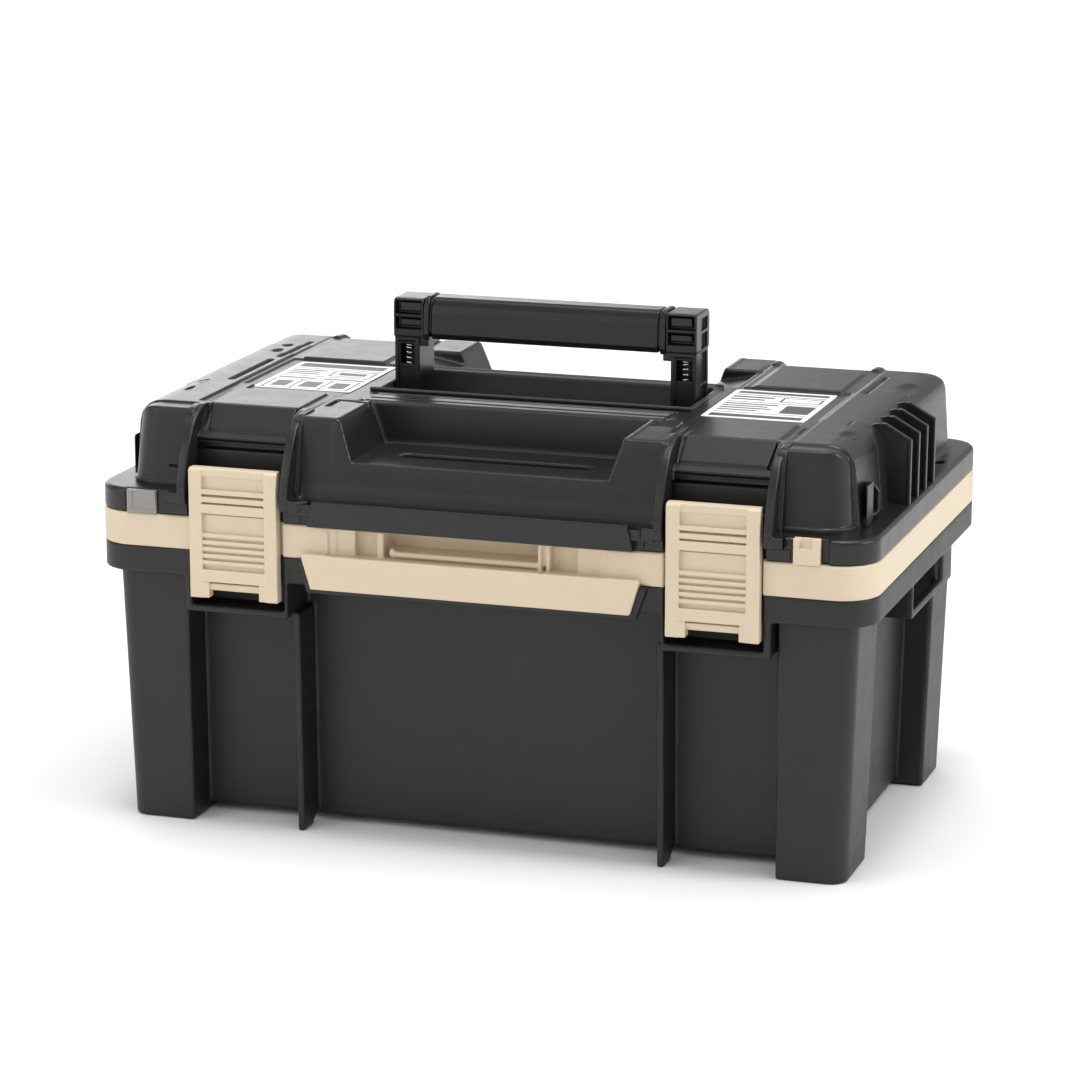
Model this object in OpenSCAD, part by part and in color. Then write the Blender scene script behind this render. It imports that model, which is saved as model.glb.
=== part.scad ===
// Hard tool case: deep tub with corner feet, beige trim band, domed lid on two
// rear hinges, two front draw latches, pull-up carrying handle in a well, and a
// sliding tote tray inside. Origin: middle of the footprint, on the floor.
// +X to the right of the front, +Y to the back, +Z up.

/* [Case] */
// Length of the rim, side to side
rim_l = 560; // [556:1:564]
// Depth of the rim, front to back
rim_d = 342; // [341:0.5:343]
// Corner radius of the rim
rim_r = 27; // [20:1:30]
// Wall thickness of the tub and lid mouldings
wall = 3; // [2.5:0.25:3.5]
// Height of the underside of the tub rim
rim_bot = 183; // [182:0.5:184]
// Height of the top of the tub flange
flange_top = 202; // [201:0.5:203]
// Height of the top of the trim band
band_top = 225.8; // [225.6:0.1:225.9]
// Height of the shelf round the lid dome
shelf_z = 243; // [242:0.5:244]
// Height of the lid deck, where the labels lie
deck_z = 296.6; // [296:0.2:297]

/* [Latches] */
// Distance of each latch's centre line from the middle
latch_x = 172.25; // [171:0.25:173]
// Width of a latch
latch_w = 65.1; // [63:0.1:65.5]
// Radius of a latch pin
latch_pin_r = 2.5; // [2:0.1:2.5]

/* [Hinges] */
// Distance of each rear hinge from the middle
hinge_x = 172; // [171:0.5:173]
// Radius of a hinge knuckle
knuckle_r = 6.5; // [6:0.1:6.5]
// Radius of a hinge pin
hinge_pin_r = 3; // [2.5:0.1:3]

/* [Handle] */
// Height of the top of the raised handle
handle_top = 359.5; // [356:0.5:360]
// Half length of the hand grip
grip_half = 86; // [84:0.5:87]
// Radius of the steel core inside the grip
core_r = 5; // [4:0.5:6]

/* [Tray] */
// Length of the tote tray
tray_l = 210; // [190:1:210]
// Height of the tray ledges
ledge_z = 158; // [150:1:158]

/* [Hidden] */
$fn = 48;

black = [0.16, 0.16, 0.16];
beige = [0.84, 0.78, 0.66];
grey = [0.45, 0.43, 0.41];
steel = [0.72, 0.73, 0.75];
paper = [0.96, 0.96, 0.94];

lid_bot = band_top + 0.4;
hx = rim_l / 2;          // half length of the rim
hy = rim_d / 2;          // half depth of the rim
hinge_y = hy + 0.5;
hinge_z = 226;
pivot_y = -(hy - 7);     // latch pivot
pivot_z = 254;
chan0 = latch_x - 35.05; // latch channel, inner and outer sides
chan1 = latch_x + 35.05;
col_x0 = 213.4;          // corner columns
well_z = 264;            // underside of the well floor
post_x0 = 94;
post_x1 = 112.8;
post_y0 = -10;
post_y1 = 22;
post_bot = 250;
cap_z = 186.6;
split_z = rim_bot - 1;   // height at which the tub is divided into its box and its rim
pocket_x = 213.3;        // outer side of a latch pocket

// ---------- helpers ----------
module box(x0, y0, z0, x1, y1, z1) { translate([x0, y0, z0]) cube([x1 - x0, y1 - y0, z1 - z0]); }

// rounded rectangle, centred, as true arcs and straight sides
module rrect(l, d, r) {
    square([l - 2 * r, d], center = true);
    square([l, d - 2 * r], center = true);
    for (sx = [-1, 1], sy = [-1, 1]) translate([sx * (l / 2 - r), sy * (d / 2 - r)]) circle(r);
}

// profile in X-Z, drawn along Y from y0 to y1
module prof_xz(y0, y1, pts) { translate([0, y1, 0]) rotate([90, 0, 0]) linear_extrude(y1 - y0) polygon(pts); }

// profile in Y-Z, drawn along X from x0 to x1
module prof_yz(x0, x1, pts) { translate([x0, 0, 0]) rotate([90, 0, 90]) linear_extrude(x1 - x0) polygon(pts); }

// box whose four sides lean, from half sizes (xa, ya) at za to (xb, yb) at zb
module lean_box(xa, ya, za, xb, yb, zb) {
    intersection() {
        prof_xz(-400, 400, [[-xa, za], [xa, za], [xb, zb], [-xb, zb]]);
        prof_yz(-400, 400, [[-ya, za], [ya, za], [yb, zb], [-yb, zb]]);
    }
}

module both() { children(); mirror([1, 0, 0]) children(); }

// ---------- base ----------
// one corner column of the right side: t = 0 outside, t = wall inside
module column(front, t) {
    ya = (front ? 96 : 81) + t;
    yb = (front ? 158 : 140) - t;
    zb = t > 0 ? 240 : 221;
    k = (zb - (t > 0 ? t : 0)) / 221;
    intersection() {
        prof_xz(-400, 400, [[col_x0 + t, t], [262 - t, t], [262 - t + 7 * k, zb], [col_x0 + t, zb]]);
        mirror([0, front ? 1 : 0, 0]) prof_yz(0, 400, [[ya, t], [yb, t], [yb + 3.6 * k, zb], [ya, zb]]);
        translate([0, 0, -1]) linear_extrude(260) rrect(2 * (269.5 - t), 2 * (yb + 4), 20 - t);
    }
}

module tub_columns(t) {
    both() { column(true, t); column(false, t); }
}

module tub_opening_2d() {
    square([488, 260], center = true);
    for (sx = [-1, 1]) {
        translate([sx > 0 ? 216.4 : -265, -158]) square([48.6, 59]);
        translate([sx > 0 ? 216.4 : -265, 84]) square([48.6, 55.5]);
    }
}

module tub_box_outer() { lean_box(242, 129, 4.5, 247.4, 133.4, 221); }
module tub_box_inner() { lean_box(242 - wall, 129 - wall, 4.5 + wall, 247.4 - wall, 133.4 - wall, 240); }
module keep_below(z) { intersection() { children(); box(-400, -400, -1, 400, 400, z); } }

// The tub is one moulding. It is divided here where its simple regions meet, face to face.
module base_tub() {
    // floor and walls between the corner columns, with the ribs that carry on down as feet
    color(black) difference() {
        union() {
            keep_below(split_z) tub_box_outer();
            both() {
                prof_yz(129.5, 134.4, [[-157.5, 0], [-140, 0], [-128, 9], [-131, 160], [-161, 160]]);
                mirror([0, 1, 0]) prof_yz(129.5, 134.4, [[-157.5, 0], [-140, 0], [-128, 9], [-131, split_z], [-161, split_z]]);
            }
        }
        tub_box_inner();
        tub_columns(0);
    }
}

module foot(front) {
    // hollow corner column of the right side, open to the inside of the tub
    color(black) difference() {
        keep_below(split_z) column(front, 0);
        column(front, wall);
        tub_box_inner();
    }
}

module latch_pocket() {
    // frame under the right latch, with a back plate
    color(black) difference() {
        box(chan0 - 2.7, -hy, 158, pocket_x, -131, split_z);
        box(chan0, -hy - 1, 163, 208.6, -150, split_z + 1);
        box(chan0 + 1, -147, 150, 208, -120, split_z + 1);
        tub_box_outer();
    }
}

module side_loop() {
    // carrying loop hung from the right side of the rim
    color(black) difference() {
        union() {
            difference() {
                box(272, -38, rim_bot - 25, 278, 90, split_z);
                box(271, -33, rim_bot - 20, 279, 60, split_z + 1);
            }
            box(255, 58, rim_bot - 25, 273, 61, split_z);
            box(245, -38, rim_bot - 25, 273, -35, split_z);
        }
        tub_box_outer();
        column(false, 0);
    }
}

module tub_rim() {
    // flange and skirt of the rim, the upper walls of the tub, and the hinge knuckles
    color(black) difference() {
        union() {
            intersection() {
                union() { tub_box_outer(); tub_columns(0); }
                box(-400, -400, split_z, 400, 400, flange_top);
            }
            translate([0, 0, flange_top - 3.5]) linear_extrude(3.5) rrect(rim_l, rim_d, rim_r);
            difference() {
                translate([0, 0, rim_bot]) linear_extrude(flange_top - rim_bot) rrect(rim_l, rim_d, rim_r);
                translate([0, 0, rim_bot - 1]) linear_extrude(flange_top - rim_bot) rrect(rim_l - 2 * wall, rim_d - 2 * wall, rim_r - wall);
            }
            both() {
                // top of the latch pocket
                box(chan0 - 2.7, -hy, split_z, chan0, -132, flange_top - 1);
                box(208.6, -hy, split_z, pocket_x, -132, flange_top - 1);
                box(chan0 - 1, -hy + 4.5, split_z, 209, -160, flange_top - 1);
                box(chan0 - 1, -161, split_z, 209, -147, split_z + 2.5);
                // top of the carrying loop
                box(272, -38, split_z, 278, 90, rim_bot + 4);
                box(255, 58, split_z, 273, 61, flange_top - 2);
                box(245, -38, split_z, 273, -35, flange_top - 2);
                // arms and knuckles of the rear hinge
                for (x = [hinge_x - 25, hinge_x + 15]) {
                    box(x, hy - 3, rim_bot + 5, x + 10, hinge_y + knuckle_r, flange_top - 0.5);
                    box(x, hy + 0.7, rim_bot + 5, x + 10, hinge_y + knuckle_r, hinge_z);
                    translate([x, hinge_y, hinge_z]) rotate([0, 90, 0]) cylinder(r = knuckle_r, h = 10);
                }
            }
        }
        tub_box_inner();
        tub_columns(wall);
        // room in the skirt for the two latches
        both() box(chan0, -hy - 1, rim_bot - 3, 208.6, -hy + 4.5, flange_top + 1);
        for (s = [-1, 1]) translate([s * hinge_x - 30, hinge_y, hinge_z]) rotate([0, 90, 0]) cylinder(r = hinge_pin_r + 0.04, h = 60);
    }
}

module tray_rail() {
    // rear rail for the tray, against the tub wall, with a stop at each end
    y = function (z) 129 - wall + (133.4 - 129) * (z - 4.5 - wall) / (240 - 4.5 - wall) - 0.02;
    color(black) {
        prof_yz(-214, 214, [[117, ledge_z - 4], [y(ledge_z - 4), ledge_z - 4], [y(ledge_z), ledge_z], [117, ledge_z]]);
        for (x = [-214, 211.5]) prof_yz(x, x + 2.5, [[117, ledge_z - 1], [y(ledge_z - 1), ledge_z - 1], [y(ledge_z + 4), ledge_z + 4], [117, ledge_z + 4]]);
    }
}

module trim_band() {
    z0 = flange_top;
    color(beige) difference() {
        union() {
            difference() {
                translate([0, 0, z0]) linear_extrude(band_top - z0) rrect(rim_l + 0.8, rim_d + 0.8, rim_r + 0.4);
                translate([0, 0, z0 - 1]) linear_extrude(band_top - z0 - 2) rrect(rim_l - 7.2, rim_d - 7.2, rim_r - 3.6);
                translate([0, 0, z0 - 1]) linear_extrude(60) tub_opening_2d();
            }
            // block behind the finger recess
            box(-107, -hy + 1, z0, 100, -148, band_top);
            // apron
            prof_xz(-hy - 6.8, -hy - 0.3, [[-114.8, rim_bot - 0.7], [114.8, rim_bot - 0.7], [122, z0 + 4], [122, z0 + 5], [-122, z0 + 5], [-122, z0 + 4]]);
            // walls beside the latches
            both() box(chan0 - 4, -hy, z0, chan1 + 4, -hy + 8, band_top);
        }
        // finger recess over the apron
        box(-103.6, -hy - 2, z0 + 5, 96.6, -hy + 1.2, band_top + 1);
        box(-99, -hy - 2, z0 + 5, -68, -hy + 3, band_top + 1);
        box(-84, -hy - 2, z0 + 5, -68, -hy + 9, band_top + 1);
        box(-59, -hy - 2, z0 + 9, 48.5, -151, band_top + 1);
        box(57, -hy - 2, z0 + 5, 92, -hy + 3, band_top + 1);
        box(60.6, -hy - 2, z0 + 5, 75.8, -hy + 9, band_top + 1);
        // room for the latches and the hinges
        both() {
            box(chan0, -hy - 3, z0 - 1, chan1, -hy + 4.5, band_top + 1);
            box(hinge_x - 28.6, hy - 7, z0 + 16.5, hinge_x + 28.6, hy + 3, band_top + 1);
        }
    }
}

module tab_right() {
    color(beige) difference() {
        box(226.8, -hy - 3.5, band_top, 245, -hy + 2.2, 243.8);
        box(231.2, -hy - 5, 239.5, 239.4, -hy + 5, 246);
        translate([235.3, 0, 239.5]) rotate([90, 0, 0]) cylinder(r = 4.1, h = 400, center = true);
    }
}

module tab_left() {
    color(grey) {
        box(-253.5, -hy - 1.6, band_top, -231.3, -hy + 2.2, 242.5);
        box(-247.5, -hy - 2.4, 236, -231.3, -hy, 242.5);
    }
}

module hinge_pin(s) {
    color(steel) {
        translate([s * hinge_x - 25.5, hinge_y, hinge_z]) rotate([0, 90, 0]) cylinder(r = hinge_pin_r, h = 51);
        for (x = [-26.9, 25.3]) translate([s * hinge_x + x, hinge_y, hinge_z]) rotate([0, 90, 0]) cylinder(r = hinge_pin_r + 1.2, h = 1.6);
    }
}

// ---------- tray ----------
module tote_tray() {
    x0 = -210;
    x1 = x0 + tray_l;
    zt = ledge_z + 3.4;
    zb = ledge_z - 48;
    color(grey) difference() {
        union() {
            difference() {
                union() {
                    box(x0, -116, zb, x1, 116, zt);
                    box(x0, -124.5, ledge_z + 0.4, x1, 124.5, zt);
                }
                box(x0 + 2.4, -113.6, zb + 2.5, x1 - 2.4, 113.6, zt + 1);
            }
            // handle wall along the middle and two dividers
            prof_xz(-2, 2, [[x0 + 1, zb + 1], [x1 - 1, zb + 1], [x1 - 1, zt], [x1 - 40, zt], [x1 - 58, 181], [x0 + 58, 181], [x0 + 40, zt], [x0 + 1, zt]]);
            box(x0 + 68, -115, zb + 1, x0 + 70.4, -1, zt - 8);
            box(x0 + 138, -115, zb + 1, x0 + 140.4, -1, zt - 8);
            box(x0 + 104, 1, zb + 1, x0 + 106.4, 115, zt - 8);
        }
        // hand hole
        box(x0 + 66, -5, 145, x1 - 66, 5, 173);
        for (x = [x0 + 66, x1 - 66]) translate([x, 0, 159]) rotate([90, 0, 0]) cylinder(r = 14, h = 20, center = true);
    }
}

// ---------- lid ----------
// outlines of the lid in Y-Z: arched ridges, dome, and the part behind the latches
front_arch = [[-178, 238], [-178, 247], [-175.5, 256], [-172, 266], [-166, 278.5], [-158, 289], [-148, 296], [-138, 299.2]];
arch = concat(front_arch, [for (i = [len(front_arch) - 1:-1:0]) [-front_arch[i][0], front_arch[i][1]]]);
front_dome = [[-162.5, 240], [-160.5, 247], [-158.5, 253], [-152, 287], [-150, 292.5], [-146, 296.4], [-141, 297.8]];
dome = concat(front_dome, [for (i = [len(front_dome) - 1:-1:0]) [-front_dome[i][0], front_dome[i][1]]]);
front_mid = [[-148, 240], [-148, 268], [-145, 270], [-145, 276.5], [-136, 281], [-131.5, 298.6]];
mid = concat(front_mid, [for (i = [len(front_mid) - 1:-1:0]) [-front_mid[i][0], front_mid[i][1]]]);

module bulge(y0, y1, xb) {
    // corner bulge of the right side, y0 is the outer end
    s = sign(y0);
    intersection() {
        prof_xz(-400, 400, [[212, 240], [xb + 2, 240], [xb, 250], [xb - 4, 286], [xb - 8, 294], [xb - 15, 298.6], [xb - 22, 299.6], [212, 299.6]]);
        prof_yz(0, 400, s < 0
            ? [[y0 - 2, 240], [y0, 250], [y0 + 5, 284], [y0 + 10, 293], [y0 + 18, 298], [y0 + 26, 299.6], [y1, 299.6], [y1, 240]]
            : [[y1, 240], [y1, 299.6], [y0 - 26, 299.6], [y0 - 18, 298], [y0 - 10, 293], [y0 - 5, 284], [y0, 250], [y0 + 2, 240]]);
        translate([0, 0, 230]) linear_extrude(90) rrect(2 * (xb + 2), 2 * (abs(y0) + 2), 24);
    }
}

module lid_outer() {
    translate([0, 0, lid_bot]) linear_extrude(shelf_z - lid_bot) rrect(rim_l, rim_d, rim_r);
    // proud middle of the front rim
    translate([0, 0, lid_bot]) linear_extrude(shelf_z - lid_bot) polygon([[-118, -hy + 1], [-113, -hy - 7], [113, -hy - 7], [118, -hy + 1]]);
    prof_yz(-131, 131, dome);
    both() {
        prof_yz(chan0 - 8.2, chan0, arch);
        prof_yz(chan1, 214.6, arch);
        prof_yz(chan0 - 1, chan1 + 1, mid);
        // deck beside the fins
        box(212, -60, 240, 250, 90, deck_z + 1.2);
        // small plates at the foot of the rim beside the latches
        box(120.7, -hy - 0.8, 227.3, chan0 - 0.6, -hy + 1, 235);
        box(chan1 + 0.6, -hy - 0.8, 227.3, 226, -hy + 1, 235);
        // lid arm and knuckle of the rear hinge
        box(hinge_x - 14.4, hy - 3, lid_bot, hinge_x + 14.4, hinge_y + knuckle_r, 239);
        translate([hinge_x - 14.4, hinge_y, hinge_z]) rotate([0, 90, 0]) cylinder(r = knuckle_r, h = 28.8);
    }
}

// the hollow underside, before the bodies of the front and rear trays are put back
module lid_hollow() {
    translate([0, 0, lid_bot - 1]) linear_extrude(shelf_z - wall - lid_bot + 1) rrect(rim_l - 2 * wall, rim_d - 2 * wall, rim_r - wall);
    box(-247, -128, shelf_z - 5, 247, 128, deck_z - wall);
    for (s = [-1, 1]) box(-126, s > 0 ? 120 : -147, shelf_z - 5, 126, s > 0 ? 147 : -120, 290);
    both() {
        box(217.6, -148, shelf_z - 5, 255, -48, 281);
        box(217.6, -143, 280, 250, -48, 292);
        box(217.6, 78, shelf_z - 5, 256, 149, 281);
        box(217.6, 78, 280, 251, 144, 292);
    }
}

module top_slots() {
    // long slots of the top
    box(222, 43, 297, 226, 108, 310);
    translate([224, 43, 297]) cylinder(r = 2, h = 10);
    translate([224, 108, 297]) cylinder(r = 2, h = 10);
}

module lid_bulge(front) {
    // hollow corner bulge of the right side, standing on the shelf
    color(black) difference() {
        intersection() {
            bulge(front ? -155 : 156, front ? -45 : 75, front ? 262 : 263);
            box(214.6, -400, shelf_z, 400, 400, 400);
        }
        box(200, -60, 230, 250, 90, 400);
        lid_hollow();
        top_slots();
    }
}

module side_fins() {
    // four upright fins of the right side recess
    color(black) difference() {
        for (y = [-51, -26, -1, 24]) prof_xz(y - 1.1, y + 1.1, [[250, shelf_z], [278, shelf_z], [278, 289], [259.5, 299], [250, 299]]);
        bulge(-155, -45, 262);
    }
}

module lid_shell() {
    color(black) difference() {
        union() {
            difference() { lid_outer(); lid_hollow(); }
            // walls and floors of the front and rear trays
            intersection() {
                prof_yz(-131, 131, dome);
                union() {
                    box(-106, -170, 265, 106, -84, 294);
                    box(-106, 44, 265, 106, 170, 294);
                    // skin under the two shallow steps beside the rear tray
                    both() prof_xz(44, 107, [[90, 283.5], [120.6, 289], [120.6, 291.2], [130, 291.2], [130, 294], [90, 294]]);
                }
            }
            // walls behind the latch pins and round the latch recess
            both() for (s = [-1, 1]) {
                box(chan0 - 8.2, s > 0 ? 145 : -hy, lid_bot + 0.4, chan0, s > 0 ? hy - 9 : -145, 243);
                box(chan1, s > 0 ? 145 : -hy, lid_bot + 0.4, 214.6, s > 0 ? hy - 9 : -145, 243);
            }
            both() box(chan0, -hy + 4.5, lid_bot, chan1, -hy + 8, 242);
        }
        // front tray and rear tray of the lid top
        for (s = [-1, 1]) prof_xz(s > 0 ? 47 : -170, s > 0 ? 170 : -87, [[-92, 269], [92, 269], [103, 302], [-103, 302]]);
        // shallow steps beside the rear tray
        both() prof_xz(47, 104, [[94, 287.5], [126.5, 293.8], [126.5, 302], [94, 302]]);
        // pencil groove in the front tray
        box(-67, -115.5, 267, 67, -110.5, 270);
        for (x = [-67, 67]) translate([x, -113, 267]) cylinder(r = 2.5, h = 3);
        // deck level between the raised areas
        box(-131.5, -62, deck_z, 131.5, 52, 310);
        both() box(128, -75, deck_z, 211.9, 45, 310);
        both() box(204.5, -128, deck_z + 1.2, 216, 128, 310);
        both() box(128, -128, deck_z + 1.2, 139, 128, 310);
        // opening for the handle well
        box(-117.4, -42.4, 250, 117.4, 38.4, 310);
        both() {
            // room for the latch, and holes of the latch pin
            box(chan0, -hy - 10, lid_bot - 1, chan1, -hy + 4.5, 300);
            translate([latch_x - 41, pivot_y, pivot_z]) rotate([0, 90, 0]) cylinder(r = latch_pin_r + 0.04, h = 82);
            // room for the knuckles of the tub
            for (x = [hinge_x - 25.8, hinge_x + 14.2]) translate([x, hinge_y, hinge_z]) rotate([0, 90, 0]) cylinder(r = knuckle_r + 0.8, h = 11.6);
            translate([hinge_x - 30, hinge_y, hinge_z]) rotate([0, 90, 0]) cylinder(r = hinge_pin_r + 0.08, h = 60);
            top_slots();
        }
        // notches for the two tabs
        box(226.2, -hy - 5, lid_bot - 1, 250.2, -hy + 2.8, 250);
        box(-254.1, -hy - 5, lid_bot - 1, -230.7, -hy + 2.8, 250);
        // room round the pin heads of the hinge
        for (s = [-1, 1], x = [-28.4, 25]) translate([s * hinge_x + x, hinge_y, hinge_z]) rotate([0, 90, 0]) cylinder(r = knuckle_r + 0.8, h = 3.4);
    }
    // backs of the two tab notches
    color(black) {
        box(225, -hy + 3, lid_bot, 251.4, -hy + 6, shelf_z - 1);
        box(-255.3, -hy + 3, lid_bot, -229.5, -hy + 6, shelf_z - 1);
    }
}

module handle_well() {
    color(black) difference() {
        union() {
            // flange with its raised rail, basin, and two post sleeves
            box(-121, -46, deck_z, 121, 42, deck_z + 3);
            box(-117, -42, well_z, 117, 38, deck_z + 1);
            both() box(post_x0 - 3, post_y0 - 4, 189.5, post_x1 + 3.6, post_y1 + 4, well_z + 1);
        }
        box(-114.5, -39.5, well_z + 2.5, 114.5, 35.5, 310);
        both() {
            box(post_x0 - 0.6, post_y0 - 0.8, 180, post_x1 + 0.8, post_y1 + 0.8, 280);
            box(post_x0 - 1.8, post_y0 - 2.2, 180, post_x1 + 2.2, post_y1 + 2.2, post_bot + 0.5);
        }
    }
}

module socket_cap() {
    // cap that closes the foot of a post sleeve
    color(grey) {
        box(post_x0 - 3, post_y0 - 4, cap_z, post_x1 + 3.6, post_y1 + 4, 189.5);
    }
}

module label(s) {
    color(paper) translate([s * 166.65, -9.5, deck_z]) linear_extrude(0.3) rrect(74, 97, 2);
}

module latch_pin(s) {
    color(steel) translate([s * latch_x - 41, pivot_y, pivot_z]) rotate([0, 90, 0]) cylinder(r = latch_pin_r, h = 82);
}

// ---------- latches ----------
module latch() {
    w = latch_w / 2;
    yf = -hy - 5.6;
    yb = -hy + 3;
    color(beige) difference() {
        union() {
            for (s = [-1, 1]) {
                box(s > 0 ? w - 10 : -w, yf, 169.8, s > 0 ? w : -w + 10, yb, 262.2);
                box(s > 0 ? w - 14 : -w, yf, 169.8, s > 0 ? w : -w + 14, yb, 181);
            }
            box(-w + 2, yf + 3.6, 181, w - 2, yb, 262.2);      // web
            box(-w + 2, yf, 257, w - 2, yb, 262.2);            // top bar
            box(-w + 2, yf, 181, w - 2, yb, 190);              // bottom bar
            box(-w + 2, yf + 2.4, 175.6, w - 2, yf + 6, 180);  // crossbar between the legs
            for (z = [[243.6, 247], [238, 242], [230, 236.7]]) box(-w + 5, yf + 0.4, z[0], w - 5, yf + 6, z[1]);
            for (z = [213, 208, 203.2, 198.4, 193.6]) box(-w + 5, yf + 0.8, z, w - 5, yf + 6, z + 3);
            // barrel round the pin
            translate([-30, pivot_y, pivot_z]) rotate([0, 90, 0]) cylinder(r = 5.5, h = 60);
            // snap rib behind the legs, just clear of the rim
            box(-20, yb - 2, 174, 20, yb + 1.1, 182.2);
        }
        translate([-40, pivot_y, pivot_z]) rotate([0, 90, 0]) cylinder(r = latch_pin_r + 0.08, h = 80);
    }
}

// ---------- handle ----------
core_y = 4;
core_z = handle_top - 14.5;

module handle_grip() {
    // hollow-section hand grip between two end collars
    sec = [[-9, 331], [-11, 335], [-10, 348], [-6, 357.5], [-3, 359.4], [11, 359.4], [14.5, 357], [18, 347], [18.6, 335], [16.5, 331]];
    col = [[-10.6, 330], [-12, 335], [-11.2, 349], [-7, 358.6], [-3.4, 360], [11.4, 360], [15.6, 358.2], [19.2, 348], [19.8, 335], [18, 330]];
    color(black) difference() {
        union() {
            prof_yz(-grip_half, grip_half, sec);
            for (s = [-1, 1]) prof_yz(s > 0 ? grip_half - 0.5 : -93.6, s > 0 ? 93.6 : -grip_half + 0.5, col);
        }
        translate([-100, core_y, core_z]) rotate([0, 90, 0]) cylinder(r = core_r + 0.04, h = 200);
        for (s = [-1, 1]) box(s > 0 ? 89.5 : -90.9, -20, 336, s > 0 ? 90.9 : -89.5, -8, 362);
    }
}

module handle_core() {
    color(steel) translate([-107, core_y, core_z]) rotate([0, 90, 0]) cylinder(r = core_r, h = 214);
}

module handle_post() {
    // right-hand post: end block over a hollow leg
    cx = (post_x0 + post_x1) / 2 + 0.1;
    color(black) difference() {
        union() {
            box(post_x0, post_y0, post_bot, post_x1, post_y1, 333);
            box(post_x0, post_y0 - 1, 331, post_x1, post_y1 + 1.4, handle_top);
        }
        // cells of the front and the outer side of the end block
        box(post_x0 + 3.2, post_y0 - 3, 336.5, post_x1 - 3.2, post_y0 + 2.4, 352);
        box(post_x1 - 2, post_y0 + 11.5, 335, post_x1 + 2, post_y1 - 4.5, 343);
        box(post_x1 - 2, post_y0 + 11.5, 345.5, post_x1 + 2, post_y1 - 4.5, 354.5);
        // bore of the spring and plunger, open to the front as a window
        translate([cx, core_y - 6, post_bot - 1]) cylinder(r = 3.66, h = 80);
        translate([cx, core_y - 6, 262]) cylinder(r = 4.9, h = 62.5);
        box(cx - 6, post_y0 - 1, 310, cx + 6, core_y - 6 + 4.9, 324.5);
        // seat of the core
        translate([post_x0 - 1, core_y, core_z]) rotate([0, 90, 0]) cylinder(r = core_r + 0.04, h = 14.1);
    }
}

module stop_plate() {
    // plate under the foot of a post that stops the handle in the sleeve
    cx = (post_x0 + post_x1) / 2 + 0.1;
    color(steel) difference() {
        box(post_x0 - 1.3, post_y0 - 1.6, post_bot - 2, post_x1 + 1.6, post_y1 + 1.6, post_bot);
        translate([cx, core_y - 6, post_bot - 5]) cylinder(r = 3.66, h = 10);
    }
}

// coil spring: wire swept along a helix
function helix_pt(t, n, r, z0, h) = [r * cos(360 * n * t), r * sin(360 * n * t), z0 + h * t];
module coil(r, wire, n, z0, h) {
    steps = round(n * 14);
    k = 8;
    pts = [for (i = [0:steps]) let (t = i / steps, a = 360 * n * t, c = helix_pt(t, n, r, z0, h))
        for (j = [0:k - 1]) let (b = 360 * j / k) [c[0] + wire * cos(b) * cos(a), c[1] + wire * cos(b) * sin(a), c[2] + wire * sin(b)]];
    body = [for (i = [0:steps - 1], j = [0:k - 1]) [i * k + j, i * k + (j + 1) % k, (i + 1) * k + (j + 1) % k, (i + 1) * k + j]];
    ends = [[for (j = [k - 1:-1:0]) j], [for (j = [0:k - 1]) steps * k + j]];
    polyhedron(points = pts, faces = [for (f = concat(body, ends)) [for (i = [len(f) - 1:-1:0]) f[i]]], convexity = 10);
}

module pop_spring() {
    cx = (post_x0 + post_x1) / 2 + 0.1;
    color(steel) translate([cx, core_y - 6, 0]) coil(3.8, 0.6, 6, 306.7, 17.1);
}

module plunger() {
    cx = (post_x0 + post_x1) / 2 + 0.1;
    color(steel) translate([cx, core_y - 6, 0]) {
        translate([0, 0, post_bot - 4]) cylinder(r = 3.6, h = 57);
        translate([0, 0, 302]) cylinder(r = 4.6, h = 4);
    }
}

base_tub();
mirror([1, 0, 0]) foot(true);  // foot_front_left
foot(true);  // foot_front_right
mirror([1, 0, 0]) foot(false);  // foot_rear_left
foot(false);  // foot_rear_right
tub_rim();
mirror([1, 0, 0]) latch_pocket();  // latch_pocket_left
latch_pocket();  // latch_pocket_right
mirror([1, 0, 0]) side_loop();  // side_loop_left
side_loop();  // side_loop_right
mirror([0, 1, 0]) tray_rail();  // tray_rail_front
tray_rail();  // tray_rail_rear
trim_band();
tab_left();
tab_right();
hinge_pin(-1);  // hinge_pin_left
hinge_pin(1);  // hinge_pin_right
tote_tray();
lid_shell();
mirror([1, 0, 0]) lid_bulge(true);  // bulge_front_left
lid_bulge(true);  // bulge_front_right
mirror([1, 0, 0]) lid_bulge(false);  // bulge_rear_left
lid_bulge(false);  // bulge_rear_right
mirror([1, 0, 0]) side_fins();  // side_fins_left
side_fins();  // side_fins_right
handle_well();
mirror([1, 0, 0]) socket_cap();  // socket_cap_left
socket_cap();  // socket_cap_right
label(-1);  // label_left
label(1);  // label_right
latch_pin(-1);  // latch_pin_left
latch_pin(1);  // latch_pin_right
translate([-latch_x, 0, 0]) latch();  // latch_left
translate([latch_x, 0, 0]) latch();  // latch_right
handle_grip();
handle_core();
mirror([1, 0, 0]) handle_post();  // handle_post_left
handle_post();  // handle_post_right
mirror([1, 0, 0]) stop_plate();  // stop_plate_left
stop_plate();  // stop_plate_right
mirror([1, 0, 0]) pop_spring();  // pop_spring_left
pop_spring();  // pop_spring_right
mirror([1, 0, 0]) plunger();  // plunger_left
plunger();  // plunger_right
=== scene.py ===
import math
import time

import bmesh
import bpy
import numpy as np
from mathutils import Matrix, Vector


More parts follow.
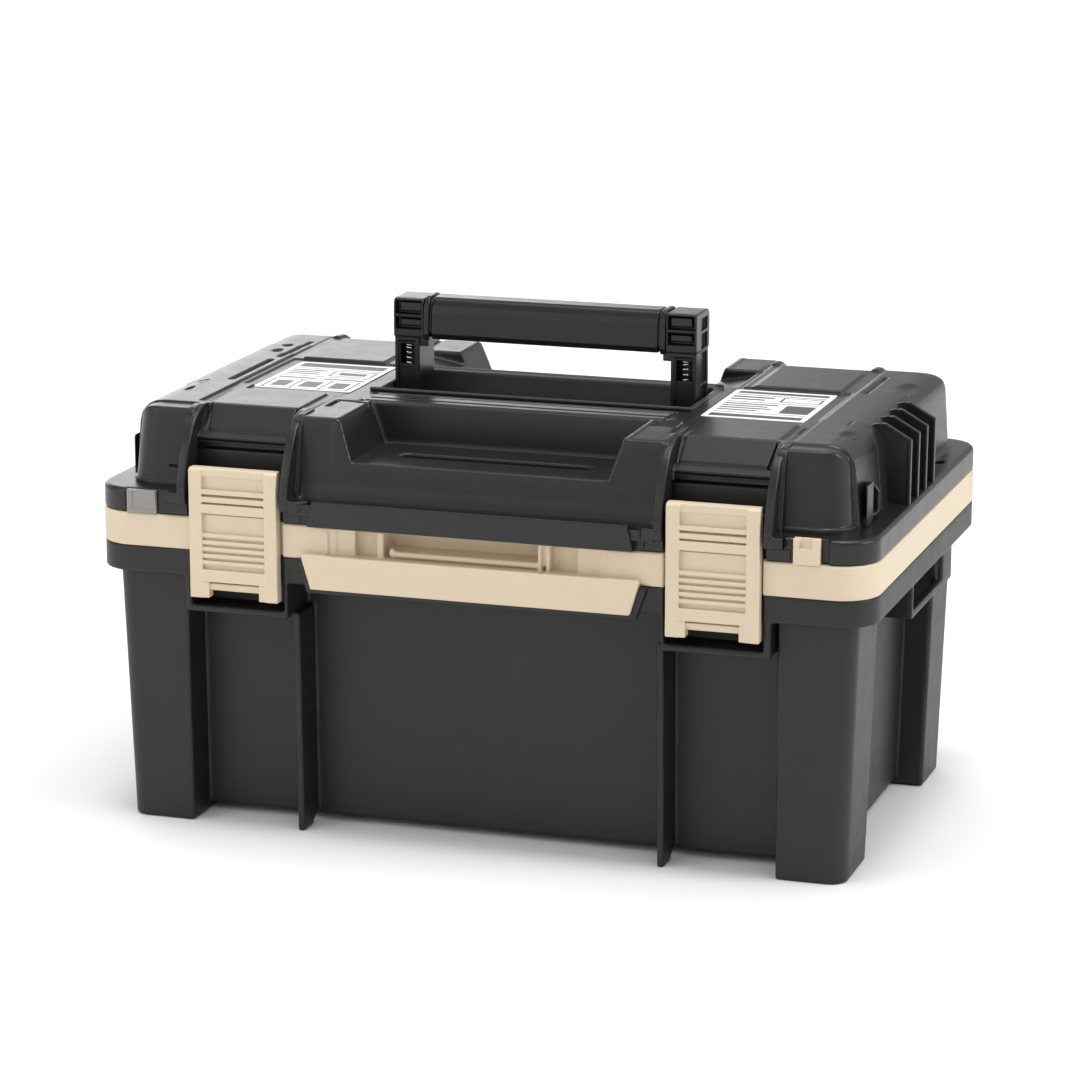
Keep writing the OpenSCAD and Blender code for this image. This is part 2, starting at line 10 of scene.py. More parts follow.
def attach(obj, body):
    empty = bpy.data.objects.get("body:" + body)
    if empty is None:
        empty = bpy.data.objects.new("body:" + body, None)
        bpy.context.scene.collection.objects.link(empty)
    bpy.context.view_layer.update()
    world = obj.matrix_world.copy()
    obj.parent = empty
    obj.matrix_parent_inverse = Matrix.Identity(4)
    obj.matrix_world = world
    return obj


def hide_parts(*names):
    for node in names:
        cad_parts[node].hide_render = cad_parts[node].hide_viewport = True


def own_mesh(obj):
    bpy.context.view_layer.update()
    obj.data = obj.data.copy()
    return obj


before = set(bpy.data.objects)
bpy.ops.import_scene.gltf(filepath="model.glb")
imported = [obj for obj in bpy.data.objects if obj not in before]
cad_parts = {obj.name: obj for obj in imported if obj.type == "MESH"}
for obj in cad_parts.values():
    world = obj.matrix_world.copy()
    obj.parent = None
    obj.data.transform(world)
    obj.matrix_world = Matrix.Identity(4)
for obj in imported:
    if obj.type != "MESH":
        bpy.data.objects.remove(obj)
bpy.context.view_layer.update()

MM = 0.001
T0 = time.time()
F4 = np.float32


def tick(what):
    print("TIME %6.1f s  %s" % (time.time() - T0, what))


# ------------------------------------------------------------------ camera
scene = bpy.context.scene
cam_data = bpy.data.cameras.new("camera")
cam = bpy.data.objects.new("camera", cam_data)
scene.collection.objects.link(cam)
cam.location = (0.8500, -2.6184, 0.8547)
cam.rotation_euler = (Vector((-0.00597, 0.0, 0.18469)) - cam.location).to_track_quat("-Z", "Y").to_euler()
cam_data.lens = 130.70
cam_data.sensor_width = 36.0
cam_data.sensor_fit = "AUTO"
cam_data.clip_start = 0.05
cam_data.clip_end = 50
scene.camera = cam


# ------------------------------------------------------------------ distance-field modelling
# Each moulding is built as a distance field in millimetres, so that its edges and inner corners
# get real moulded radii, and is then turned into a mesh.
def smin(a, b, k):
    if k <= 0:
        return np.minimum(a, b)
    h = np.maximum(F4(k) - np.abs(a - b), 0)
    return np.minimum(a, b) - h * h * F4(0.25 / k)


def smax(a, b, k):
    if k <= 0:
        return np.maximum(a, b)
    h = np.maximum(F4(k) - np.abs(a - b), 0)
    return np.maximum(a, b) + h * h * F4(0.25 / k)


class Shape:
    def __init__(self, lo, hi, f):
        self.lo, self.hi, self.f = np.array(lo, float), np.array(hi, float), f


def rbox(x0, y0, z0, x1, y1, z1, r=0.0):
    c = [(x0 + x1) / 2, (y0 + y1) / 2, (z0 + z1) / 2]
    r = min(r, (x1 - x0) / 2, (y1 - y0) / 2, (z1 - z0) / 2)
    b = [(x1 - x0) / 2 - r, (y1 - y0) / 2 - r, (z1 - z0) / 2 - r]

    def f(X, Y, Z):
        qx, qy, qz = (np.abs(P - F4(c[i])) - F4(b[i]) for i, P in enumerate((X, Y, Z)))
        o = np.sqrt(np.maximum(qx, 0) ** 2 + np.maximum(qy, 0) ** 2 + np.maximum(qz, 0) ** 2)
        return o + np.minimum(np.maximum(np.maximum(qx, qy), qz), 0) - F4(r)
    return Shape((x0, y0, z0), (x1, y1, z1), f)


def poly_sdf(pts, U, V):
    d = np.full(np.broadcast(U, V).shape, 1e9)
    s = np.ones_like(d)
    n = len(pts)
    for i in range(n):
        a, b = pts[i], pts[i - 1]
        ex, ey = b[0] - a[0], b[1] - a[1]
        wx, wy = U - a[0], V - a[1]
        t = np.clip((wx * ex + wy * ey) / (ex * ex + ey * ey), 0, 1)
        d = np.minimum(d, (wx - ex * t) ** 2 + (wy - ey * t) ** 2)
        c1, c2, c3 = V >= a[1], V < b[1], ex * wy > ey * wx
        flip = (c1 & c2 & c3) | (~c1 & ~c2 & ~c3)
        s = np.where(flip, -s, s)
    return s * np.sqrt(d)


def inset(pts, r):
    P = [np.array(p, float) for p in pts]
    n = len(P)
    if sum(P[i][0] * P[(i + 1) % n][1] - P[(i + 1) % n][0] * P[i][1] for i in range(n)) < 0:
        P = P[::-1]
    if r <= 0:
        return P
    out = []
    for i in range(n):
        a, b, c = P[i - 1], P[i], P[(i + 1) % n]
        u, v = (b - a) / np.linalg.norm(b - a), (c - b) / np.linalg.norm(c - b)
        n1, n2 = np.array((-u[1], u[0])), np.array((-v[1], v[0]))
        out.append(b + r * (n1 + n2) / (1 + n1 @ n2))
    return out


def prism(axis, a0, a1, pts, r=0.0, ra=None):
    """Polygon drawn along an axis. r rounds the polygon's corners, ra the edges at the two ends."""
    ra = r if ra is None else ra
    P = inset(pts, r)
    A = np.array(pts, float)
    others = [i for i in range(3) if i != axis]
    lo, hi = [0, 0, 0], [0, 0, 0]
    lo[axis], hi[axis] = a0, a1
    for j, o in enumerate(others):
        lo[o], hi[o] = A[:, j].min(), A[:, j].max()
    c, h = (a0 + a1) / 2, (a1 - a0) / 2

    def f(X, Y, Z):
        g = (X, Y, Z)
        U, V = g[others[0]], g[others[1]]
        d2 = (poly_sdf(P, U, V) - (r - ra)).astype(F4)
        da = np.abs(g[axis] - F4(c)) - F4(h - ra)
        if ra <= 0:
            return np.maximum(d2, da)
        return np.sqrt(np.maximum(d2, 0) ** 2 + np.maximum(da, 0) ** 2) + np.minimum(np.maximum(d2, da), 0) - F4(ra)
    return Shape(lo, hi, f)


def rrectz(l, d, r, z0, z1, er=0.0, cx=0.0, cy=0.0):
    """Plate with round corners in plan; er rounds its upper and lower edges."""
    c, h = (z0 + z1) / 2, (z1 - z0) / 2 - er

    def f(X, Y, Z):
        qx, qy = np.abs(X - F4(cx)) - F4(l / 2 - r), np.abs(Y - F4(cy)) - F4(d / 2 - r)
        d2 = np.sqrt(np.maximum(qx, 0) ** 2 + np.maximum(qy, 0) ** 2) + np.minimum(np.maximum(qx, qy), 0) - F4(r - er)
        dz = np.abs(Z - F4(c)) - F4(h)
        if er <= 0:
            return np.maximum(d2, dz)
        return np.sqrt(np.maximum(d2, 0) ** 2 + np.maximum(dz, 0) ** 2) + np.minimum(np.maximum(d2, dz), 0) - F4(er)
    return Shape((cx - l / 2, cy - d / 2, z0), (cx + l / 2, cy + d / 2, z1), f)


def cyl(axis, c, rad, a0, a1, er=0.0):
    """Cylinder along an axis; c is its centre in the other two axes, in order."""
    others = [i for i in range(3) if i != axis]
    lo, hi = [0, 0, 0], [0, 0, 0]
    lo[axis], hi[axis] = a0, a1
    for j, o in enumerate(others):
        lo[o], hi[o] = c[j] - rad, c[j] + rad
    m, h = (a0 + a1) / 2, (a1 - a0) / 2 - er

    def f(X, Y, Z):
        g = (X, Y, Z)
        d2 = np.sqrt((g[others[0]] - F4(c[0])) ** 2 + (g[others[1]] - F4(c[1])) ** 2) - F4(rad - er)
        da = np.abs(g[axis] - F4(m)) - F4(h)
        if er <= 0:
            return np.maximum(d2, da)
        return np.sqrt(np.maximum(d2, 0) ** 2 + np.maximum(da, 0) ** 2) + np.minimum(np.maximum(d2, da), 0) - F4(er)
    return Shape(lo, hi, f)


def ellipsoid(c, r):
    def f(X, Y, Z):
        g = [(P - F4(c[i])) / F4(r[i]) for i, P in enumerate((X, Y, Z))]
        k0 = np.sqrt(g[0] ** 2 + g[1] ** 2 + g[2] ** 2)
        k1 = np.sqrt((g[0] / F4(r[0])) ** 2 + (g[1] / F4(r[1])) ** 2 + (g[2] / F4(r[2])) ** 2) + F4(1e-6)
        return k0 * (k0 - F4(1)) / k1
    return Shape([c[i] - r[i] for i in range(3)], [c[i] + r[i] for i in range(3)], f)


def both_of(a, b, k=0.0):
    """The space inside both shapes, with its edges rounded by k."""
    return Shape(np.maximum(a.lo, b.lo), np.minimum(a.hi, b.hi), lambda X, Y, Z: smax(a.f(X, Y, Z), b.f(X, Y, Z), k))


def flip(s, axis):
    """The same shape mirrored along an axis."""
    lo, hi = s.lo.copy(), s.hi.copy()
    lo[axis], hi[axis] = -s.hi[axis], -s.lo[axis]

    def f(X, Y, Z):
        g = [X, Y, Z]
        g[axis] = -g[axis]
        return s.f(*g)
    return Shape(lo, hi, f)


class Field:
    def __init__(self, lo, hi, h):
        self.h = h * 1.0
        self.lo = np.array(lo, float) - 2.37 * self.h
        n = [int(math.ceil((hi[i] + 2.5 * self.h - self.lo[i]) / self.h)) + 1 for i in range(3)]
        self.ax = [(self.lo[i] + self.h * np.arange(n[i])).astype(F4) for i in range(3)]
        self.d = np.full(n, 60.0, F4)

    def _win(self, shape, m):
        sl = []
        for i in range(3):
            a = int(np.searchsorted(self.ax[i], shape.lo[i] - m))
            b = int(np.searchsorted(self.ax[i], shape.hi[i] + m))
            if b <= a:
                return None
            sl.append(slice(a, b))
        return tuple(sl)

    def _eval(self, shape, sl):
        X = self.ax[0][sl[0]][:, None, None]
        Y = self.ax[1][sl[1]][None, :, None]
        Z = self.ax[2][sl[2]][None, None, :]
        return shape.f(X, Y, Z)

    def add(self, shape, k=0.0, sym=""):
        for s in self._copies(shape, sym):
            sl = self._win(s, k + 3 * self.h)
            if sl:
                self.d[sl] = smin(self.d[sl], self._eval(s, sl), k)
        return self

    def cut(self, shape, k=0.0, sym=""):
        for s in self._copies(shape, sym):
            sl = self._win(s, k + 3 * self.h)
            if sl:
                self.d[sl] = smax(self.d[sl], -self._eval(s, sl), k)
        return self

    def _copies(self, s, sym):
        out = [s]
        if "x" in sym:
            out += [flip(o, 0) for o in out]
        if "y" in sym:
            out += [flip(o, 1) for o in out]
        return out

    def below(self, z):
        """Removes everything below a plane."""
        self.d = np.maximum(self.d, F4(z) - self.ax[2][None, None, :])
        return self

    def mesh(self):
        d = self.d
        s = d < 0
        c = np.zeros(tuple(n - 1 for n in d.shape), np.uint8)
        for i in (0, 1):
            for j in (0, 1):
                for k in (0, 1):
                    c += s[i:i + c.shape[0], j:j + c.shape[1], k:k + c.shape[2]]
        act = (c > 0) & (c < 8)
        I, J, K = np.nonzero(act)
        idx = np.full(c.shape, -1, np.int32)
        idx[I, J, K] = np.arange(len(I), dtype=np.int32)
        acc = np.zeros((len(I), 3))
        cnt = np.zeros(len(I))
        corners = [(i, j, k) for i in (0, 1) for j in (0, 1) for k in (0, 1)]
        val = {q: d[I + q[0], J + q[1], K + q[2]].astype(float) for q in corners}
        for q in corners:
            for axis in range(3):
                if q[axis] == 0:
                    w = list(q)
                    w[axis] = 1
                    va, vb = val[q], val[tuple(w)]
                    m = (va < 0) != (vb < 0)
                    t = va[m] / (va[m] - vb[m])
                    p = np.array(q, float)[None, :] + t[:, None] * (np.array(w, float) - np.array(q, float))[None, :]
                    acc[m] += p
                    cnt[m] += 1
        co = (acc / cnt[:, None] + np.stack([I, J, K], 1)) * self.h + self.lo
        quads = []
        for axis in range(3):
            b, e = [(1, 2), (2, 0), (0, 1)][axis]
            n = d.shape
            lo_s = [slice(1, n[i] - 1) for i in range(3)]
            lo_s[axis] = slice(0, n[axis] - 1)
            hi_s = list(lo_s)
            hi_s[axis] = slice(1, n[axis])
            sa, sb = s[tuple(lo_s)], s[tuple(hi_s)]
            for up in (True, False):
                g = np.nonzero(sa & ~sb) if up else np.nonzero(~sa & sb)
                g = [g[i] + (0 if i == axis else 1) for i in range(3)]
                ring = []
                for (u, v) in ((0, 0), (-1, 0), (-1, -1), (0, -1)):
                    q = [g[0].copy(), g[1].copy(), g[2].copy()]
                    q[b] += u
                    q[e] += v
                    ring.append(idx[q[0], q[1], q[2]])
                ring = ring if not up else ring[::-1]
                quads.append(np.stack(ring[::-1], 1))
        return co, np.concatenate(quads)


def new_object(name, co, faces):
    me = bpy.data.meshes.new(name)
    n = faces.shape[1]
    me.vertices.add(len(co))
    me.vertices.foreach_set("co", (np.asarray(co, float) * MM).astype(F4).ravel())
    me.loops.add(faces.size)
    me.loops.foreach_set("vertex_index", faces.astype(np.int32).ravel())
    me.polygons.add(len(faces))
    me.polygons.foreach_set("loop_start", np.arange(len(faces), dtype=np.int32) * n)
    me.update(calc_edges=True)
    ob = bpy.data.objects.new(name, me)
    scene.collection.objects.link(ob)
    return ob


def smooth(ob, weighted=True):
    ob.data.polygons.foreach_set("use_smooth", np.ones(len(ob.data.polygons), bool))
    if weighted:
        m = ob.modifiers.new("normals", "WEIGHTED_NORMAL")
        m.mode = "FACE_AREA"
        m.weight = 50
        m.keep_sharp = True
    return ob


def bake_modifiers(ob):
    dg = bpy.context.evaluated_depsgraph_get()
    me = bpy.data.meshes.new_from_object(ob.evaluated_get(dg))
    old = ob.data
    ob.modifiers.clear()
    ob.data = me
    me.name = ob.name
    bpy.data.meshes.remove(old)


def finish_field(field, name, body, nodes, material, tris):
    co, quads = field.mesh()
    ob = new_object(name, co, quads)
    have = 2 * len(quads)
    if have > tris:
        m = ob.modifiers.new("decimate", "DECIMATE")
        m.ratio = tris / have
        m.use_collapse_triangulate = True
        bake_modifiers(ob)
    smooth(ob)
    piece(ob, body, nodes, material)
    tick("%s: %d quads -> %d faces" % (name, len(quads), len(ob.data.polygons)))
    return ob


def piece(ob, body, nodes=(), material=None):
    if material is not None:
        ob.data.materials.clear()
        ob.data.materials.append(material)
    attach(ob, body)
    if nodes:
        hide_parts(*nodes)
    return ob


def curve(pts, n=5):
    """Smooth line through points, without its sharp corners."""
    P = [np.array(p, float) for p in pts]
    P = [2 * P[0] - P[1]] + P + [2 * P[-1] - P[-2]]
    out = []
    for i in range(1, len(P) - 2):
        a, b, c, d = P[i - 1:i + 3]
        for j in range(n):
            t = j / n
            out.append(0.5 * (2 * b + (c - a) * t + (2 * a - 5 * b + 4 * c - d) * t * t + (3 * b - a - 3 * c + d) * t ** 3))
    out.append(P[-2])
    return [tuple(p) for p in out]


def poly_object(name, pts, axis, a0, a1, bevel, segs=2):
    """Flat plate cut to an outline, with its edges bevelled."""
    bm = bmesh.new()
    others = [i for i in range(3) if i != axis]
    vs = []
    for p in pts:
        q = [0, 0, 0]
        q[axis] = a0
        q[others[0]], q[others[1]] = p
        vs.append(bm.verts.new(Vector(q) * MM))
    f = bm.faces.new(vs)
    r = bmesh.ops.extrude_face_region(bm, geom=[f])
    d = [0, 0, 0]
    d[axis] = (a1 - a0) * MM
    bmesh.ops.translate(bm, verts=[v for v in r["geom"] if isinstance(v, bmesh.types.BMVert)], vec=d)
    bmesh.ops.recalc_face_normals(bm, faces=bm.faces)
    if bevel > 0:
        bmesh.ops.bevel(bm, geom=list(bm.edges), offset=bevel * MM, segments=segs, profile=0.5, affect="EDGES", clamp_overlap=True)
    me = bpy.data.meshes.new(name)
    bm.to_mesh(me)
    bm.free()
    ob = bpy.data.objects.new(name, me)
    scene.collection.objects.link(ob)
    return ob


def join(obs, name):
    bm = bmesh.new()
    for o in obs:
        bm.from_mesh(o.data)
        me = o.data
        bpy.data.objects.remove(o)
        bpy.data.meshes.remove(me)
    me = bpy.data.meshes.new(name)
    bm.to_mesh(me)
    bm.free()
    ob = bpy.data.objects.new(name, me)
    scene.collection.objects.link(ob)
    return ob


# ------------------------------------------------------------------ materials
def base_material(name):
    m = bpy.data.materials.new(name)
    m.use_nodes = True
    nt = m.node_tree
    nt.nodes.clear()
    out = nt.nodes.new("ShaderNodeOutputMaterial")
    b = nt.nodes.new("ShaderNodeBsdfPrincipled")
    nt.links.new(b.outputs[0], out.inputs[0])
    tc = nt.nodes.new("ShaderNodeTexCoord")
    return m, nt, b, tc


def noise(nt, vec, scale, detail=2.0, rough=0.5):
    n = nt.nodes.new("ShaderNodeTexNoise")
    n.inputs["Scale"].default_value = scale
    n.inputs["Detail"].default_value = detail
    n.inputs["Roughness"].default_value = rough
    nt.links.new(vec, n.inputs["Vector"])
    return n.outputs["Fac"]


def ramp(nt, fac, stops):
    r = nt.nodes.new("ShaderNodeValToRGB")
    e = r.color_ramp.elements
    while len(e) < len(stops):
        e.new(0.5)
    for el, (p, c) in zip(e, stops):
        el.position = p
        el.color = (c[0], c[1], c[2], 1) if hasattr(c, "__len__") else (c, c, c, 1)
    nt.links.new(fac, r.inputs[0])
    return r.outputs["Color"]


def math_node(nt, op, a, b):
    n = nt.nodes.new("ShaderNodeMath")
    n.operation = op
    for i, v in enumerate((a, b)):
        if isinstance(v, (int, float)):
            n.inputs[i].default_value = v
        else:
            nt.links.new(v, n.inputs[i])
    return n.outputs[0]


def plastic(name, color, rough=(0.40, 0.50), grain=0.35, grain_scale=1100.0, specks=0.0, vary=0.10, spec=0.5, coat=0.0):
    """Moulded plastic: fine grain, slow change of gloss and tone, and optional dark moulding specks."""
    m, nt, b, tc = base_material(name)
    vec = tc.outputs["Object"]
    slow = noise(nt, vec, 9.0, 3.0, 0.55)
    mid = noise(nt, vec, 60.0, 3.0, 0.6)
    fine = noise(nt, vec, grain_scale, 2.0, 0.6)
    tone = math_node(nt, "ADD", math_node(nt, "MULTIPLY", slow, 0.7), math_node(nt, "MULTIPLY", mid, 0.3))
    c = np.array(color)
    col = ramp(nt, tone, [(0.30, tuple(c * (1 - vary))), (0.70, tuple(np.minimum(c * (1 + vary), 1)))])
    if specks > 0:
        sp = noise(nt, vec, 420.0, 1.0, 0.5)
        mask = ramp(nt, sp, [(0.70, 1.0), (0.74, 1.0 - specks)])
        mix = nt.nodes.new("ShaderNodeMix")
        mix.data_type = "RGBA"
        mix.blend_type = "MULTIPLY"
        mix.inputs[0].default_value = 1.0
        nt.links.new(col, mix.inputs[6])
        nt.links.new(mask, mix.inputs[7])
        col = mix.outputs[2]
    nt.links.new(col, b.inputs["Base Color"])
    rr = ramp(nt, mid, [(0.25, rough[0]), (0.75, rough[1])])
    nt.links.new(rr, b.inputs["Roughness"])
    bump = nt.nodes.new("ShaderNodeBump")
    bump.inputs["Strength"].default_value = grain
    bump.inputs["Distance"].default_value = 0.00012
    nt.links.new(fine, bump.inputs["Height"])
    nt.links.new(bump.outputs[0], b.inputs["Normal"])
    b.inputs["Specular IOR Level"].default_value = spec
    if coat:
        b.inputs["Coat Weight"].default_value = coat
        b.inputs["Coat Roughness"].default_value = 0.25
    return m


def metal(name, color, rough=(0.22, 0.36), stretch=(1, 1, 1)):
    m, nt, b, tc = base_material(name)
    mp = nt.nodes.new("ShaderNodeMapping")
    mp.inputs["Scale"].default_value = stretch
    nt.links.new(tc.outputs["Object"], mp.inputs["Vector"])
    n = noise(nt, mp.outputs[0], 700.0, 3.0, 0.6)
    s = noise(nt, tc.outputs["Object"], 80.0, 2.0, 0.5)
    c = np.array(color)
    nt.links.new(ramp(nt, s, [(0.3, tuple(c * 0.88)), (0.7, tuple(c))]), b.inputs["Base Color"])
    nt.links.new(ramp(nt, n, [(0.3, rough[0]), (0.7, rough[1])]), b.inputs["Roughness"])
    bump = nt.nodes.new("ShaderNodeBump")
    bump.inputs["Strength"].default_value = 0.15
    bump.inputs["Distance"].default_value = 0.00005
    nt.links.new(n, bump.inputs["Height"])
    nt.links.new(bump.outputs[0], b.inputs["Normal"])
    b.inputs["Metallic"].default_value = 1.0
    return m


M_TUB = plastic("pp_black_tub", (0.0125, 0.0125, 0.0122), rough=(0.42, 0.50), grain=0.30, vary=0.10, spec=0.42)
M_LID = plastic("pp_black_lid", (0.0125, 0.0125, 0.0122), rough=(0.30, 0.37), grain=0.32, specks=0.70, vary=0.10, spec=0.42)
M_WELL = plastic("pp_black_well", (0.040, 0.040, 0.0395), rough=(0.34, 0.42), grain=0.25, vary=0.08, spec=0.42)
M_GRIP = plastic("pp_black_grip", (0.0100, 0.0100, 0.0100), rough=(0.27, 0.34), grain=0.20, vary=0.08, spec=0.42)
M_BEIGE = plastic("pp_beige", (0.675, 0.565, 0.412), rough=(0.42, 0.52), grain=0.20, vary=0.020, specks=0.05, spec=0.35)
M_GREY = plastic("pp_grey", (0.275, 0.265, 0.250), rough=(0.38, 0.48), grain=0.25, vary=0.06, spec=0.42)
M_TRAY = plastic("pp_charcoal_tray", (0.055, 0.055, 0.058), rough=(0.42, 0.52), grain=0.35, vary=0.08, spec=0.42)
M_STEEL = metal("steel_zinc", (0.62, 0.63, 0.65), stretch=(0.1, 1, 1))
M_PIN = metal("steel_black_oxide", (0.030, 0.030, 0.032), rough=(0.40, 0.52), stretch=(0.1, 1, 1))
M_SPRING = metal("steel_spring", (0.80, 0.80, 0.80), rough=(0.12, 0.22))


def label_paper():
    m, nt, b, tc = base_material("label_paper")
    f = noise(nt, tc.outputs["Object"], 1500.0, 3.0, 0.6)
    nt.links.new(ramp(nt, f, [(0.3, (0.83, 0.83, 0.82)), (0.7, (0.88, 0.88, 0.87))]), b.inputs["Base Color"])
    nt.links.new(ramp(nt, f, [(0.3, 0.42), (0.7, 0.55)]), b.inputs["Roughness"])
    bump = nt.nodes.new("ShaderNodeBump")
    bump.inputs["Strength"].default_value = 0.15
    bump.inputs["Distance"].default_value = 0.00003
    nt.links.new(f, bump.inputs["Height"])
    nt.links.new(bump.outputs[0], b.inputs["Normal"])
    return m


def label_ink():
    m, nt, b, tc = base_material("label_ink")
    f = noise(nt, tc.outputs["Object"], 1300.0, 3.0, 0.6)
    nt.links.new(ramp(nt, f, [(0.3, (0.018, 0.018, 0.019)), (0.75, (0.05, 0.05, 0.052))]), b.inputs["Base Color"])
    nt.links.new(ramp(nt, f, [(0.3, 0.38), (0.7, 0.5)]), b.inputs["Roughness"])
    return m


M_PAPER, M_INK = label_paper(), label_ink()

# ------------------------------------------------------------------ shared sizes, as in the CAD
HX, HY = 280.0, 171.0
RIM_BOT, FLANGE, BAND_TOP, LID_BOT, SHELF, DECK = 183.0, 202.0, 225.8, 226.2, 243.0, 296.6
LX, C0, C1 = 172.25, 137.2, 207.3
HINGE_X, HINGE_Y, HINGE_Z, KR = 172.0, 171.5, 226.0, 6.5
PIV_Y, PIV_Z = -164.0, 254.0
POST_X0, POST_X1, POST_Y0, POST_Y1, POST_BOT = 94.0, 112.8, -10.0, 22.0, 250.0
BX, BY = (POST_X0 + POST_X1) / 2 + 0.1, -2.0


def mirror_y(pts):
    return list(pts) + [(-p[0], p[1]) for p in reversed(pts)]


# ------------------------------------------------------------------ lid
# outlines of the lid's front in Y and Z
ARCH_F = [(-177.7, 236)] + curve([(-177.7, 247), (-175.5, 256), (-172, 266), (-166, 278.5), (-158, 289), (-148, 296), (-138, 299.4)], 5)
STEP_F = [(-164.6, 238), (-162.6, 247), (-160.6, 254), (-154.8, 286.9)] + curve([(-153.2, 291.6), (-151.0, 295.4), (-147.0, 298.0), (-141, 299.0)], 3)
DOME_F = [(-162.5, 238), (-160.5, 247), (-158.5, 254), (-152.6, 286.5), (-151.5, 292.2), (-150.6, 295.9), (-149.0, 297.5), (-146.6, 297.9), (-141, 297.9)]


def build_lid():
    F = Field((-280, -177.6, 218), (280, 178, 300), 1.2)
    arch = mirror_y([(p[0] + 1.3 if p[0] < -140 else p[0], p[1] - 0.8) for p in ARCH_F])
    arch_r = mirror_y(ARCH_F)
    dome = mirror_y(DOME_F)
    mid = mirror_y([(-144.5, 238), (-144.5, 268.0), (-141.6, 270.2), (-141.6, 274.0), (-145.2, 276), (-145.2, 280.4), (-143.0, 282.6), (-129.6, 297.4), (-128, 298.4)])
    trap = [(-92, 269), (92, 269), (105.5, 308), (-105.5, 308)]
    step = [(94, 287.5), (126.5, 293.8), (126.5, 308), (94, 308)]
    slot = [(-70, -121), (-68.2, -124.4), (-64, -126.6), (66, -126.6), (70.2, -124.4), (72, -121), (70.2, -117.2), (66, -115.0), (-64, -115.0), (-68.2, -117.2)]
    # rim
    F.add(rrectz(560, 342, 27, 205, SHELF, 3.0))
    # dome between the ridges, ridges, and the part behind the latches
    F.add(prism(0, -131, 131, dome, 1.3, 1.0), 3.0)
    back = rbox(-400, -100, 200, 400, 200, 320, 0)
    F.add(both_of(prism(0, C0 - 5.8, C0, arch_r, 1.2), back), 1.2, "x")
    F.add(both_of(prism(0, C1, C1 + 5.8, arch_r, 1.2), back), 1.2, "x")
    F.add(prism(0, C0 - 5.6, C0 - 0.4, arch, 1.0), 1.0, "x")
    F.add(prism(0, C1 + 0.4, C1 + 5.6, arch, 1.0), 1.0, "x")
    F.add(prism(0, C0 - 1, C1 + 1, mid, 0.9), 0.8, "x")
    # raised pads on the top, front and back, behind the latches
    F.add(rbox(139.6, -131, 290, 204.6, -76, 299.3, 0.8), 0.8, "x")
    F.add(rbox(141.5, 46, 290, 205.2, 112, 299.3, 0.8), 0.8, "x")
    # deck beside the fins
    F.add(rbox(211, -62, 238, 250, 92, DECK + 1.2, 2.0), 2.0, "x")

    # corner bulges
    def bulge(y0, y1, xb):
        s = -1 if y0 < 0 else 1
        px = [(206, 238), (xb + 2, 238), (xb, 250), (xb - 4, 286)] + curve([(xb - 5.5, 290.5), (xb - 9, 294.8), (xb - 14.5, 298), (xb - 22, 299.5)], 3) + [(206, 299.6)]
        a = abs(y0)
        py = [(-(a + 2), 238), (-a, 250), (-(a - 5), 284)] + curve([(-(a - 6.8), 289), (-(a - 11), 294), (-(a - 17.5), 297.8), (-(a - 26), 299.5)], 3) + [(s * y1, 299.6), (s * y1, 238)]
        if s > 0:
            py = [(-p[0], p[1]) for p in py]
        q = both_of(prism(1, -400, 400, px, 0.8, 0), prism(0, -400, 400, py, 1.2, 0), 5.0)
        return both_of(q, rrectz(2 * (xb + 2), 2 * (a + 2), 24, 200, 340), 7.0)
    for s in (bulge(-150, -56, 258), bulge(156, 75, 263)):
        s.lo[0] = 204.0
        F.add(s, 2.5, "x")
    # flat between the raised areas
    F.cut(rbox(-131.5, -78, DECK, 131.5, 52, 330, 0), 0.8)
    F.cut(rbox(128, -75, DECK, 211.9, 45, 330, 0), 0.6, "x")
    F.cut(rbox(205.6, -128, DECK + 1.2, 216, 128, 330, 0), 0.6, "x")
    F.cut(rbox(128, -128, DECK + 1.2, 138.8, 128, 330, 0), 0.6, "x")
    F.cut(rbox(-111, -86.6, DECK, 111, -77, 330, 0), 0.5)
    # hollow underside
    F.cut(rrectz(554, 336, 24, 190, SHELF - 3, 2.0))
    H = [rbox(-246, -127, 225, 246, 127, DECK - 3.2, 5.0)]
    for s in (-1, 1):
        H.append(rbox(-126, 120 if s > 0 else -147, 225, 126, 147 if s > 0 else -120, 290, 5.0))
    for h in H:
        F.cut(h, 1.0)
    for b in (rbox(217.6, -145, 225, 253, -60, 281, 5.0), rbox(217.6, -141, 270, 248, -60, 292, 5.0),
              rbox(217.6, 78, 225, 256, 149, 281, 5.0), rbox(217.6, 78, 270, 251, 144, 292, 5.0)):
        F.cut(b, 1.0, "x")
    # floors and walls of the trays and of the groove, put back
    solid = prism(0, -131, 131, dome, 0.9, 0.9)
    F.add(both_of(solid, rbox(-106, -170, 265, 106, -84, 300, 1.0)), 1.0)
    F.add(both_of(solid, rbox(-106, 44, 265, 106, 170, 300, 1.0)), 1.0)
    F.add(both_of(solid, rbox(-75, -131, 256.0, 75, -110, 268, 1.0)), 1.0)
    for s in (1, -1):
        F.add(both_of(solid, prism(1, 44, 107, [(s * p[0], p[1]) for p in ((90, 283.5), (120.6, 289), (120.6, 291.2), (130, 291.2), (130, 296), (90, 296))], 0.5)), 1.0)
    F.cut(rbox(-131.5, -78, DECK, 131.5, 104, 330, 0), 0.6)
    F.cut(prism(1, -190, -87, trap, 1.6, 1.4), 2.2)
    F.cut(prism(1, 47, 190, trap, 1.6, 1.4), 1.1)
    for s in (1, -1):
        F.cut(prism(1, 47.5, 103.8, [(s * p[0], p[1]) for p in step], 1.0), 0.6)
    F.cut(prism(2, 258.4, 280, slot, 1.6, 0), 1.0)
